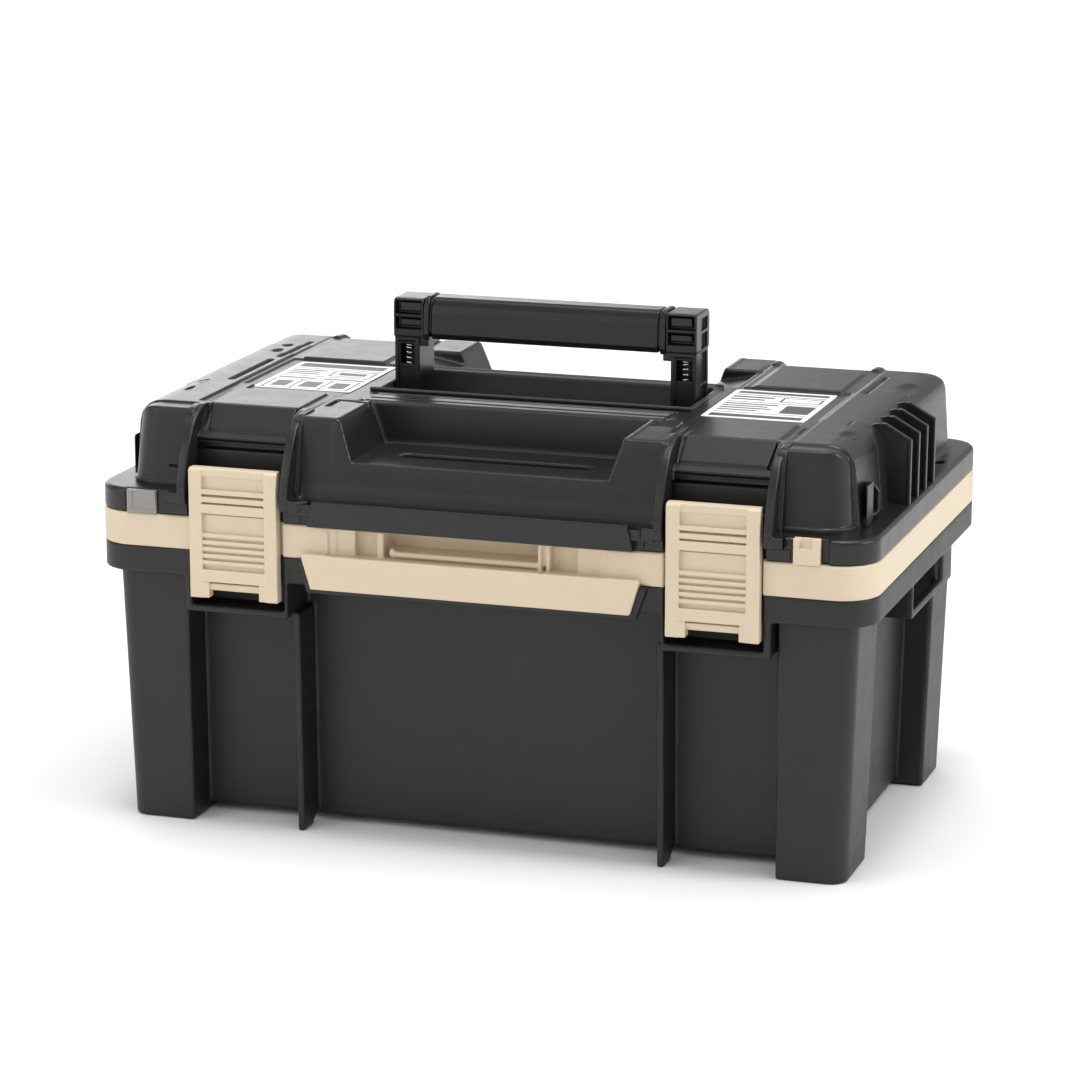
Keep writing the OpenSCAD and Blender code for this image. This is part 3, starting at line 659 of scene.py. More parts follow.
    # floor of the groove behind the proud middle of the front rim
    F.add(rbox(-131, -176, 233.5, 131, -157.0, 242.0, 0.5), 0.5)
    F.cut(prism(0, -126.5, 126.5, [(-175.6, 236.6), (-162.6, 236.6), (-160.6, 247), (-159.4, 254), (-175.6, 254)], 0.8), 0.5)
    # groove between the handle well and the ribs before it
    F.cut(rbox(-112, -54.2, 294.4, 112, -46.6, 312, 0.6), 0.4)
    # opening of the handle well
    F.cut(rbox(-117.4, -42.4, 240, 117.4, 38.4, 330, 0), 0.6)
    # walls of the latch recesses and behind the rear ridges
    for s in (-1, 1):
        y0, y1 = (145, HY - 9) if s > 0 else (-HY + 0.3, -145)
        F.add(rbox(C0 - 8.2, y0, LID_BOT + 0.4, C0, y1, 243, 0.5), 0.8, "x")
        F.add(rbox(C1, y0, LID_BOT + 0.4, 214.6, y1, 243, 0.5), 0.8, "x")
    F.add(rbox(C0 - 1, -HY + 4.5, LID_BOT, C1 + 1, -HY + 8, 242, 0.5), 0.5, "x")
    # stiffening ribs under the top
    for y in (-60, 62):
        F.add(rbox(150, y - 1.3, 276, 248, y + 1.3, 296, 0), 1.0, "x")
    # hinge arms and knuckles
    F.add(rbox(HINGE_X - 14.4, HY - 3, LID_BOT, HINGE_X + 14.4, HINGE_Y + KR - 0.1, 239, 0.6), 1.0, "x")
    F.add(cyl(0, (HINGE_Y, HINGE_Z), KR - 0.1, HINGE_X - 14.4, HINGE_X + 14.4, 0.5), 0.6, "x")
    # room for the latches
    F.cut(rbox(C0 - 0.3, -185, 200, C1 + 0.3, -HY + 4.5, 330, 0), 0.5, "x")
    F.cut(cyl(0, (PIV_Y, PIV_Z), 2.54, LX - 39, LX + 39), 0, "x")
    # room for the tub's knuckles and the pin
    for x in (HINGE_X - 25.8, HINGE_X + 14.2):
        F.cut(cyl(0, (HINGE_Y, HINGE_Z), KR + 0.9, x, x + 11.6), 0.3, "x")
    F.cut(cyl(0, (HINGE_Y, HINGE_Z), 3.1, HINGE_X - 30, HINGE_X + 30), 0, "x")
    for x in (-28.6, 24.9):
        F.cut(cyl(0, (HINGE_Y, HINGE_Z), KR + 0.9, HINGE_X + x, HINGE_X + x + 3.7), 0, "x")
        F.cut(cyl(0, (HINGE_Y, HINGE_Z), KR + 0.9, -HINGE_X + x, -HINGE_X + x + 3.7), 0)
    # notches for the tabs, and their backs
    F.cut(rbox(226.2, -HY - 5, 200, 250.2, -HY + 2.8, 250, 0.3), 0.4)
    F.cut(rbox(-254.1, -HY - 5, 200, -230.7, -HY + 2.8, 250, 0.3), 0.4)
    F.add(rbox(225, -HY + 3, LID_BOT, 251.4, -HY + 6, SHELF - 1, 0.5), 0.5)
    F.add(rbox(-255.3, -HY + 3, LID_BOT, -229.5, -HY + 6, SHELF - 1, 0.5), 0.5)
    # long slots of the top, and the hooked slot and the scoop on the shoulders
    for x0, y0, y1, sym in ((221.2, 40, 107, "x"), (-225.8, -50, 30, "")):
        F.cut(rbox(x0, y0, 296.4, x0 + 3.0, y1, 312, 1.2), 0.5, sym)
    F.cut(rbox(-127.4, -112, 295.4, -124.2, -89.4, 312, 0.8), 0.3)
    F.cut(rbox(-127.4, -92.4, 295.4, -110, -89.2, 312, 0.8), 0.3)
    F.cut(prism(2, 295.4, 312, [(-112, -89.2), (-98, -95.0), (-99.2, -97.6), (-112, -92.4)], 0.6, 0), 0.3)
    F.cut(prism(0, 106, 124.8, [(-104.5, 294.4), (-103.2, 294.4), (-84.5, 297.4), (-84.5, 312), (-104.5, 312)], 0.3), 0.3)
    # scoops on the outer top edges of the rear bulges
    F.cut(ellipsoid((250, 73, 301.8), (13, 24, 6.0)), 0.6)
    for c, r in (((249, 55.5, 298.6), (6.4, 1.9, 4.0)), ((-234, 66, 299.6), (4.0, 7.0, 3.2)), ((-234, 88, 299.6), (4.0, 7.0, 3.2))):
        F.cut(ellipsoid(c, r), 0.4)
    # slotted hole of the shelf
    F.cut(rbox(264.6, 82, 238, 270.4, 93, 250, 0.8), 0.4, "x")
    F.below(LID_BOT)
    nodes = ["lid_shell"] + ["bulge_%s_%s" % (a, b) for a in ("front", "rear") for b in ("left", "right")]
    return finish_field(F, "lid_moulding", "lid", nodes, M_LID, 196000)


def build_channels():
    """Front of the lid beside and above each latch: ridges that turn into ledges, and the stepped recess."""
    F = Field((113, -177.9, 226.2), (219, -124, 300), 0.6)
    band = ARCH_F + [(-128.6, 299.4), (-127.2, 298.2), (-127.2, 291), (-140, 288), (-150, 278), (-158, 262), (-162, 248), (-169.5, 243), (-169.5, 236)]
    thin = STEP_F + [(-129, 299.0), (-128, 298.2), (-128, 292), (-143, 290), (-151, 276), (-157, 250), (-159, 238)]
    F.add(prism(0, C0 - 6.2, C0, band, 0.9, 0.9))
    F.add(prism(0, C1, C1 + 6.2, band, 0.9, 0.9))
    F.add(prism(0, C0 - 8.6, C0 - 3, thin, 0.6, 0.45), 0.3)
    F.add(prism(0, C1 + 3, C1 + 8.6, thin, 0.6, 0.45), 0.3)
    # ledges at the feet of the ridges
    F.add(prism(2, 235.9, 243.4, [(C0 - 1, -177.7), (123.4, -177.7), (118.2, -172.4), (118.2, -168.6), (C0 - 1, -168.6)], 0.5, 1.3), 1.2)
    F.add(prism(2, 235.9, 243.4, [(C1 + 1, -177.7), (225.2, -177.7), (225.2, -168.6), (C1 + 1, -168.6)], 0.6, 1.3), 1.2)
    # stepped recess above the latch, and the sloped block over it
    F.add(prism(0, C0 - 1, C1 + 1, [(-147.5, 238), (-147.5, 269.6), (-143, 270.6), (-143, 274.2), (-150.4, 274.8), (-150.4, 276.2), (-148.4, 276.8), (-148.4, 277.6), (-152.2, 278.0), (-152.2, 279.4), (-147.0, 282.2), (-135, 283), (-135, 238)], 0.3, 0))
    F.add(both_of(prism(0, 130, 220, [(-145.8, 281.0), (-145.8, 284.2), (-131.8, 299.1), (-125, 299.3), (-125, 281.0)], 0.9, 0),
                  prism(1, -160, -120, [(139.3, 280), (200.9, 280), (204.6, 299.6), (141.0, 299.6)], 0, 0), 1.0))
    F.add(rbox(C0 - 1, -152.4, 271.5, C0 + 1.5, -149.6, 279.8, 0.5), 0.2)
    # room for the latch
    F.cut(rbox(C0, -185, 200, C1, -HY + 4.5, 268, 0), 0.3)
    F.cut(rbox(C0, -185, 200, C1, -153.2, 330, 0), 0.3)
    F.cut(cyl(0, (PIV_Y, PIV_Z), 2.54, LX - 39, LX + 39), 0)
    co, quads = F.mesh()
    for sx, name in ((1, "channel_frame_right"), (-1, "channel_frame_left")):
        c2, q2 = co.copy(), quads
        if sx < 0:
            c2[:, 0] *= -1
            q2 = quads[:, ::-1]
        ob = new_object(name, c2, np.ascontiguousarray(q2))
        m = ob.modifiers.new("decimate", "DECIMATE")
        m.ratio = min(1.0, 90000 / (2 * len(quads)))
        m.use_collapse_triangulate = True
        bake_modifiers(ob)
        smooth(ob)
        piece(ob, "lid", (), M_LID)
    tick("channels %d" % len(quads))


def build_front_edge():
    """Proud middle of the front rim, plates under the ledges, and the ribs before the handle well."""
    obs = [poly_object("lip", [(-117.2, 226.4), (-113.4, 244.5), (113.4, 244.5), (117.2, 226.4)], 1, -177.8, -174.6, 1.0, 3)]
    obs.append(poly_object("lip_foot", [(-116.6, 226.4), (-114.5, 237.2), (114.5, 237.2), (116.6, 226.4)], 1, -175.4, -170.2, 0.2, 1))
    for s in (-1, 1):
        obs.append(poly_object("plate", [(s * 136.6, -171.9), (s * 124.2, -171.9), (s * 121.2, -170.0), (s * 121.2, -168.6), (s * 136.6, -168.6)], 2, 227.1, 234.8, 0.3, 1))
        obs.append(poly_object("plate", [(s * 207.9, -171.9), (s * 224.6, -171.9), (s * 224.6, -168.6), (s * 207.9, -168.6)], 2, 227.1, 234.8, 0.3, 1))
    ribs = [(-54.4, 293.8), (-54.4, 297.3), (-59.8, 297.8), (-60.3, 296.8), (-61.9, 296.8), (-62.4, 297.9), (-72.2, 298.2), (-72.8, 297.0), (-75.8, 297.0), (-76.4, 298.3), (-82.4, 298.4), (-86.2, 296.0), (-86.2, 293.8)]
    obs.append(poly_object("ribs", ribs, 0, -108.5, 110.5, 0.5, 3))
    ob = join(obs, "lid_front_edge")
    smooth(ob)
    piece(ob, "lid", (), M_LID)


def build_hoods():
    """Front corner bulges: a square-shouldered block before a larger rounded hood."""
    for sx, name in ((1, "hood_right"), (-1, "hood_left")):
        F = Field((204, -158, 238), (271, -44, 300), 0.8)
        px = [(204, 238), (264, 238), (262, 250), (258.8, 284)] + curve([(257.4, 289.4), (253.6, 294.6), (247.6, 298.2), (240, 299.5)], 4) + [(204, 299.5)]
        hood = both_of(prism(1, -134, -53.4, px, 0.6, 1.2), rrectz(2 * 263, 2 * 150, 24, 200, 340), 3.0)
        bx = [(204, 238), (260.2, 238), (258.8, 250), (256.4, 284)] + curve([(255.2, 288.6), (252.2, 293.4), (247.4, 297.0), (241, 298.6)], 4) + [(204, 298.6)]
        by = [(-157.4, 238), (-156.0, 248), (-150.8, 292), (-149.9, 296.2), (-147.8, 298.3), (-144, 298.7), (-90, 299.0), (-90, 238)]

        def corner(X, Y, Z):
            qx = X - F4(258.8 - 20) + (Z - F4(250)) * F4(0.07)
            qy = -Y - F4(156.0 - 20) + (Z - F4(248)) * F4(0.118)
            return np.sqrt(np.maximum(qx, 0) ** 2 + np.maximum(qy, 0) ** 2) + np.minimum(np.maximum(qx, qy), 0) - F4(20)
        block = both_of(both_of(prism(1, -400, 400, bx, 0.6, 0), prism(0, -400, 400, by, 1.0, 0), 2.6), Shape((0, -400, 200), (400, 400, 340), corner), 1.6)
        block = both_of(block, rbox(213.8, -160, 238, 280, -60, 310, 0), 0.8)
        plinth = both_of(rrectz(2 * 260.6, 2 * 157.5, 22, 238, 246.7, 0.5), rbox(213.2, -160, 236, 280, -110, 260, 0), 0.5)
        F.add(hood)
        F.add(block, 0.8)
        F.add(plinth, 0.3)
        # clip bracket: a plate and a tall open pocket with a pointed head
        F.add(prism(0, 255, 266.0, [(-112.0, 246.5), (-112.0, 271.8), (-92.0, 261.4), (-92.0, 245.4)], 0.5), 0.4)
        F.cut(prism(0, 257.6, 280, [(-110.6, 249.5), (-110.6, 269.4), (-94.0, 259.8), (-94.0, 247.2)], 0.5), 0.2)
        if sx > 0:
            F.cut(ellipsoid((247, -96, 302.2), (9.5, 12, 5.0)), 0.8)
            F.cut(ellipsoid((246, -100.5, 298.6), (6.6, 2.0, 4.4)), 0.3)
        else:
            for c, r in (((239, -90, 299.4), (2.2, 8.0, 2.6)), ((239, -62.5, 299.4), (4.4, 4.6, 2.6))):
                F.cut(ellipsoid(c, r), 0.4)
            F.cut(rbox(221.0, -162, 256.4, 228.4, -152.0, 257.9, 0.5), 0.3)
        # groove that ends the hood towards the fins
        F.cut(rbox(236.6, -70, 297.6, 238.8, -44, 312, 0.6), 0.3)
        F.cut(rbox(204, -128, DECK + 1.2, 216, -40, 330, 0), 0.6)
        co, quads = F.mesh()
        if sx < 0:
            co[:, 0] *= -1
            quads = quads[:, ::-1]
        ob = new_object(name, co, np.ascontiguousarray(quads))
        m = ob.modifiers.new("decimate", "DECIMATE")
        m.ratio = min(1.0, 60000 / (2 * len(quads)))
        m.use_collapse_triangulate = True
        bake_modifiers(ob)
        plate = poly_object("clip", [(-128.4, 243.6), (-128.4, 270.0), (-126.8, 271.6), (-111.6, 271.6), (-111.6, 243.6)], 0, sx * 265.0, sx * 266.0, 0.2, 1)
        ob = join([ob, plate], name)
        smooth(ob)
        piece(ob, "lid", (), M_LID)
    tick("hoods")


def build_fins():
    right = [(247, 240), (277.4, 240), (277.8, 288.2), (259.6, 298.6), (254.0, 298.4), (249.5, 297.2), (247, 296.6)]
    left = [(247, 240), (277.4, 240), (276.8, 262), (273.6, 274)] + curve([(270.2, 281.6), (263.6, 288.6), (257.4, 293.8), (250.6, 297.4)], 4) + [(247, 297.4)]
    for side, name, pts in ((1, "fin_set_right", right), (-1, "fin_set_left", left)):
        obs = [poly_object("fin", [(side * p[0], p[1]) for p in pts], 1, y - 1.1, y + 1.1, 0.22, 1) for y in (-51, -26, -1, 24)]
        if side > 0:
            # bead along the outer edge of each fin
            bead = [(275.0, 242), (277.7, 242), (278.1, 288.4), (259.7, 298.9), (256.6, 298.4), (258.4, 296.6), (275.3, 286.8)]
            obs += [poly_object("bead", bead, 1, y - 1.9, y + 1.9, 0.6, 2) for y in (-51, -26, -1, 24)]
        ob = join(obs, name)
        smooth(ob)
        piece(ob, "lid", ["side_fins_right" if side > 0 else "side_fins_left"], M_LID)


# ------------------------------------------------------------------ handle well
def build_well():
    F = Field((-121, -46, 189), (121, 42, 300), 1.0)
    F.add(rrectz(242, 88, 5, DECK, DECK + 3, 1.0, 0, -2))
    F.add(rrectz(234, 80, 4, 264, DECK + 1, 0.5, 0, -2))
    F.add(rbox(POST_X0 - 3, POST_Y0 - 4, 189.5, POST_X1 + 3.6, POST_Y1 + 4, 265, 0.8), 1.0, "x")
    F.add(rrectz(241, 87, 4, DECK - 5.6, DECK - 3.9, 0.3, 0, -2))
    F.cut(rrectz(229, 75, 3, 266.5, 320, 1.5, 0, -2), 1.2)
    F.add(prism(0, -114, 114, [(31.8, 266), (35.3, 297.5), (38, 297.5), (38, 266)], 0.6), 0.8)
    F.cut(rrectz(237.4, 83.4, 3, DECK + 1.5, 320, 0.2, 0, -2), 0.3)
    F.cut(rbox(112.5, -43.4, DECK + 0.5, 130, 39.4, 320, 0), 0.4, "x")
    F.cut(rbox(POST_X0 - 0.6, POST_Y0 - 0.8, 180, POST_X1 + 0.8, POST_Y1 + 0.8, 290), 0.3, "x")
    F.cut(rbox(POST_X0 - 1.8, POST_Y0 - 2.2, 180, POST_X1 + 2.2, POST_Y1 + 2.2, POST_BOT + 0.5), 0.2, "x")
    finish_field(F, "well_insert", "lid", ["handle_well"], M_WELL, 60000)


# ------------------------------------------------------------------ tub
def lean_box(xa, ya, za, xb, yb, zb, k):
    a = prism(1, -400, 400, [(-xa, za), (xa, za), (xb, zb), (-xb, zb)], 0, 0)
    b = prism(0, -400, 400, [(-ya, za), (ya, za), (yb, zb), (-yb, zb)], 0, 0)
    s = both_of(a, b, k)
    return s


def column(front, t, k):
    ya, yo = (96 if front else 81) + t, (158 if front else 140) - t
    zb = 250 if t > 0 else 221
    kk = (zb - t) / 221
    a = prism(1, -400, 400, [(213.4 + t, t), (262 - t, t), (262 - t + 7 * kk, zb), (213.4 + t, zb)], 0, 0)
    b = prism(0, -400, 400, [(ya, t), (yo, t), (yo + 3.6 * kk, zb), (ya, zb)], 0, 0)
    r = 13.0 - t / 3

    def corner(X, Y, Z):
        # upright outer corner of radius r that leans outwards with the two walls
        lean = (Z - F4(t)) / F4(221)
        qx = X - F4(262 - t - r) - lean * F4(7)
        qy = Y - F4(yo - r) - lean * F4(3.6)
        return np.sqrt(np.maximum(qx, 0) ** 2 + np.maximum(qy, 0) ** 2) + np.minimum(np.maximum(qx, qy), 0) - F4(r)
    s = both_of(both_of(a, b, k), Shape((-400, -400, -20), (400, 400, 300), corner), 0.5)
    return flip(s, 1) if front else s


def build_tub():
    F = Field((-280, -178, 0), (280, 178, 232.5), 1.5)
    F.add(lean_box(242, 129, 4.5, 247.4, 133.4, 221, 3.0))
    for fr in (True, False):
        s = column(fr, 0, 2.0)
        F.add(s, 1.5, "x")
    # rim: flange and skirt
    F.add(both_of(rrectz(560, 342, 27, 198.5, FLANGE, 0), rbox(-400, -400, 190, 400, 400, FLANGE, 0)), 1.5)
    skirt = Field.__new__(Field)
    skirt.h, skirt.lo, skirt.ax = F.h, F.lo, F.ax
    skirt.d = np.full(F.d.shape, 60.0, F4)
    skirt.add(rrectz(560, 342, 27, RIM_BOT, FLANGE, 1.2))
    skirt.cut(rrectz(554, 336, 24, RIM_BOT - 10, FLANGE - 3.5, 0.5))
    F.d = np.minimum(F.d, skirt.d)
    del skirt
    # rim step that follows the apron
    F.add(prism(1, -174.6, -168, [(-118.6, 178.6), (118.6, 178.6), (126.6, 202), (-126.6, 202)], 0.9), 0.5)
    # shallow panels of the skirt beside the latch pockets
    F.cut(rbox(124.6, -175, 184.2, C0 - 3.8, -HY + 1.1, 194.4, 0.4), 0.4, "x")
    # latch pockets
    F.add(rbox(C0 - 2.7, -HY, 158, 211.4, -132, RIM_BOT + 1, 0.8), 1.0, "x")
    F.add(rbox(C0 - 2.7, -HY, RIM_BOT, 214.5, -160, FLANGE, 0.8), 1.0, "x")
    F.cut(rbox(C0, -HY - 1, 163, 206.2, -150, RIM_BOT, 0), 0.5, "x")
    F.cut(rbox(C0, -HY - 10, 163, 206.2, -HY + 4.5, FLANGE + 1, 0), 0.5, "x")
    F.cut(rbox(C0 + 1, -147, 150, 206.6, -134.2, FLANGE - 3, 0.5), 0, "x")
    # ribs that carry on down as feet
    F.add(prism(0, 129.5, 134.5, [(-157.5, 0), (-140, 0), (-128, 9), (-131, 160), (-161, 160)], 0.6), 1.0, "x")
    F.add(prism(0, 129.5, 134.5, [(157.5, 0), (140, 0), (128, 9), (131, 186), (161, 186)], 0.6), 1.0, "x")
    # side carrying loops hung from the skirt
    F.add(rbox(272, -38, RIM_BOT - 25, 278, 90, RIM_BOT + 4, 1.2), 0.8, "x")
    F.cut(rbox(268, -33, RIM_BOT - 20, 284, 60, RIM_BOT - 1.5, 1.0), 0.8, "x")
    F.add(rbox(255, 58, RIM_BOT - 25, 273, 61, FLANGE - 2, 0.3), 0.6, "x")
    F.add(rbox(245, -38, RIM_BOT - 25, 273, -35, FLANGE - 2, 0.3), 0.6, "x")
    # hinge arms and knuckles
    for x in (HINGE_X - 25, HINGE_X + 15):
        F.add(rbox(x, HY - 3, RIM_BOT + 5, x + 10, HINGE_Y + KR - 0.1, FLANGE - 0.5, 0.8), 0.8, "x")
        F.add(rbox(x, HY + 0.7, RIM_BOT + 5, x + 10, HINGE_Y + KR - 0.1, HINGE_Z, 0.8), 0, "x")
        F.add(cyl(0, (HINGE_Y, HINGE_Z), KR - 0.1, x, x + 10, 0.6), 0.3, "x")
    # inside
    F.cut(lean_box(239, 126, 7.5, 244.4, 130.4, 250, 3.0), 0.8)
    for fr in (True, False):
        F.cut(column(fr, 3, 1.5), 0.8, "x")
    F.cut(cyl(0, (HINGE_Y, HINGE_Z), 3.04, HINGE_X - 30, HINGE_X + 30), 0, "x")
    # tray ledges with their stops
    for s in (-1, 1):
        y0, y1 = (117, 130) if s > 0 else (-130, -117)
        F.add(rbox(-214, y0, 154, 214, y1, 158, 0.6), 0.5)
        for x in (-214, 211.5):
            F.add(rbox(x, y0, 157, x + 2.5, y1, 162, 0.3), 0.3)
    nodes = ["base_tub", "tub_rim", "tray_rail_front", "tray_rail_rear"]
    nodes += ["%s_%s" % (a, b) for a in ("foot_front", "foot_rear", "latch_pocket", "side_loop") for b in ("left", "right")]
    finish_field(F, "tub_moulding", "base", nodes, M_TUB, 196000)


# ------------------------------------------------------------------ trim band
def build_band():
    F = Field((-280.4, -178, 182), (280.4, 172, 226), 1.0)
    z0 = FLANGE
    F.add(rrectz(560.8, 342.8, 27.4, z0, BAND_TOP, 1.3))
    F.cut(rrectz(552.8, 334.8, 23.4, z0 - 10, BAND_TOP - 3, 0.5))
    F.cut(rrectz(488, 260, 2, z0 - 10, 260), 0.4)
    for sx in (-1, 1):
        x0 = 216.4 if sx > 0 else -265
        F.cut(rbox(x0, -158, z0 - 10, x0 + 48.6, -99, 260, 0), 0.3)
        F.cut(rbox(x0, 84, z0 - 10, x0 + 48.6, 139.5, 260, 0), 0.3)
    F.add(rbox(-107, -HY + 1, z0, 100, -148, BAND_TOP, 1.2), 0.3)
    F.add(prism(1, -177.8, -171.3, [(-114.8, 182.3), (114.8, 182.3), (122, 206), (119.4, 207), (-119.4, 207), (-122, 206)], 0.7), 0)
    F.add(rbox(C0 - 4, -HY, z0, C1 + 4, -HY + 8, BAND_TOP, 0.3), 0.3, "x")
    # finger recess over the apron
    for x0, x1, y in ((-103.6, 97.2, -HY + 1.0), (-97.5, -68.3, -HY + 2.2), (-84.5, -68.3, -HY + 9), (56.8, 92.6, -HY + 2.2), (56.8, 75.6, -HY + 9)):
        F.cut(rbox(x0, -200, z0 + 4.6, x1, y, 224.3, 0), 0.4)
    F.cut(rbox(-63.5, -200, z0 + 9.8, 47.9, -151, 224.3, 1.0), 0.5)
    F.cut(rbox(-63.5, -200, z0 + 4.6, -58.9, -158, z0 + 12, 0.4), 0.4)
    F.cut(rbox(-60, -200, z0 + 4.6, 47.9, -166, z0 + 6.0, 0), 0.3)
    # pull bar with its curled end, and the pair of ribs at the other end
    F.add(rbox(-59.0, -HY + 0.6, z0 + 6.2, 48.4, -HY + 4.6, z0 + 9.9, 0.9), 0.4)
    F.add(cyl(1, (-57.0, z0 + 9.6), 2.3, -HY + 0.6, -HY + 4.6, 0.6), 0.8)
    F.cut(rbox(50.6, -200, z0 + 4.8, 53.7, -HY + 3.6, 224.3, 0.2), 0.3)
    F.cut(rbox(50.8, -200, z0 + 4.0, 53.4, -HY + 8, z0 + 7.4, 0.2), 0.2)
    F.cut(rbox(46.4, -178.6, 182, 47.2, -177.35, z0 + 4, 0), 0.3)
    # room for the latches and hinges
    F.cut(rbox(C0, -HY - 12, z0 - 1, 205.9, -HY + 4.5, BAND_TOP + 5, 0), 0.4, "x")
    F.cut(rbox(HINGE_X - 28.6, HY - 7, z0 + 16.5, HINGE_X + 28.6, HY + 9, BAND_TOP + 5, 0), 0.4, "x")
    finish_field(F, "band_moulding", "base", ["trim_band"], M_BEIGE, 120000)


def build_tabs():
    F = Field((226.8, -174.5, 225), (245, -168, 244), 0.45)
    F.add(rbox(226.8, -174.5, BAND_TOP, 245, -168.8, 243.8, 0.7))
    F.cut(rbox(231.0, -180, 236.6, 239.6, -171.4, 260, 0.5), 0.3)
    finish_field(F, "corner_tab_right", "base", ["tab_right"], M_BEIGE, 12000)
    G = Field((-253.5, -173.4, 225), (-231.3, -168, 243), 0.45)
    G.add(rbox(-253.5, -172.6, BAND_TOP, -231.3, -168.8, 242.5, 0.7))
    G.add(rbox(-247.5, -173.4, 236, -231.3, -170, 242.5, 0.5), 0.3)
    G.add(rbox(-250.3, -173.3, 227.5, -248.9, -170, 241.5, 0.4), 0.2)
    G.add(rbox(-250.3, -173.3, 227.5, -233.4, -170, 228.9, 0.4), 0.2)
    finish_field(G, "corner_tab_left", "base", ["tab_left"], M_GREY, 12000)


# ------------------------------------------------------------------ latches
def build_latches():
    w, yf, yb = 32.55, -176.6, -168.0
    F = Field((-w, yf, 169), (w, -158, 262.5), 0.45)
    for s in (-1, 1):
        x0, x1 = (w - 9.4, w) if s > 0 else (-w, -w + 9.4)
        F.add(prism(0, x0, x1, [(yf, 169.8), (yb, 169.8), (yb, 262.2), (yf + 2.4, 262.2), (yf, 260.6)], 0.5))
        x0, x1 = (w - 14, w) if s > 0 else (-w, -w + 14)
        F.add(rbox(x0, yf + 0.5, 169.8, x1, yb, 181, 0.6), 0.5)
    F.add(rbox(-w + 2, yf + 3.6, 181, w - 2, yb, 262.2, 0.5), 0.3)
    F.add(prism(0, -w + 3, w - 3, [(yf + 1.6, 256.2), (yb, 256.2), (yb, 262.2), (yf + 2.4, 262.2), (yf + 1.6, 261.2)], 0.4), 0.2)
    F.add(rbox(-w + 3, yf + 0.3, 181.4, w - 3, yb, 190, 0.6), 0.3)
    F.add(rbox(-w + 3, yf + 2.4, 175.6, w - 3, yf + 6, 180, 0.5), 0.3)
    for z0, z1 in ((243.6, 247), (238, 242), (230, 236.7)):
        F.add(rbox(-w + 8, yf + 0.7, z0, w - 8, yf + 6, z1, 0.35), 0.2)
        F.cut(rbox(-w + 9.4, yf + 0.2, z0 - 1.2, w - 9.4, yf + 5.2, z0, 0), 0.15)
    for z in (213, 208, 203.2, 198.4, 193.6):
        F.add(rbox(-w + 8, yf + 0.9, z, w - 8, yf + 6, z + 3, 0.6), 0.4)
    F.add(cyl(0, (PIV_Y, PIV_Z), 5.5, -30, 30, 0.5), 1.0)
    F.add(rbox(-20, yb - 2, 174, 20, yb + 1.1, 182.2, 0.5), 0.3)
    F.cut(cyl(0, (PIV_Y, PIV_Z), 2.58, -40, 40))
    co, quads = F.mesh()
    for sx, name, node in ((-1, "latch_moulding_left", "latch_left"), (1, "latch_moulding_right", "latch_right")):
        c2 = co.copy()
        c2[:, 0] += sx * LX
        ob = new_object(name, c2, quads)
        m = ob.modifiers.new("decimate", "DECIMATE")
        m.ratio = min(1.0, 60000 / (2 * len(quads)))
        m.use_collapse_triangulate = True
        bake_modifiers(ob)
        smooth(ob)
        piece(ob, node, [node], M_BEIGE)
    tick("latches %d" % len(quads))


# ------------------------------------------------------------------ handle
def build_grip():
    F = Field((-90.4, -12, 328), (90.4, 19.8, 360), 0.55)
    sec = [(-9, 329.3), (-11, 333.4), (-10, 348)] + curve([(-8.6, 353.5), (-6, 357.5), (-3, 359.2)], 3) + curve([(11, 359.3), (14.5, 357.2), (16.4, 353)], 3) + [(18, 347), (18.6, 333.4), (16.5, 329.3)]
    col = [(-10.6, 328.6), (-12, 333), (-11.2, 349)] + curve([(-9.8, 354.6), (-7, 358.6), (-3.4, 359.9)], 3) + curve([(11.4, 359.9), (15.6, 358.3), (17.6, 354)], 3) + [(19.2, 348), (19.8, 333), (18, 328.6)]
    F.add(prism(0, -84.6, 84.6, sec, 1.2, 0.6))
    F.add(prism(0, -88, 88, [(p[0] * 0.9 + 0.4, 344 + (p[1] - 344) * 0.9) for p in sec], 1.0, 0))
    for s in (-1, 1):
        a, b = (86.4, 90.3) if s > 0 else (-90.3, -86.4)
        F.add(prism(0, a, b, col, 1.0, 0.6), 0.3)
    # finger side of the grip is open below, with ribs
    F.cut(rbox(-80, -6.5, 325, 80, 14, 332.0, 0.5), 0.5)
    for x in range(-66, 67, 22):
        F.add(rbox(x - 0.9, -8, 330.5, x + 0.9, 15, 334, 0), 0.2)
    F.cut(rbox(-83.4, -14, 354.3, 83.4, -8.3, 355.3, 0.2), 0.2)
    F.cut(cyl(0, (4, 345), 5.04, -100, 100))
    finish_field(F, "grip_moulding", "handle", ["handle_grip"], M_GRIP, 90000)


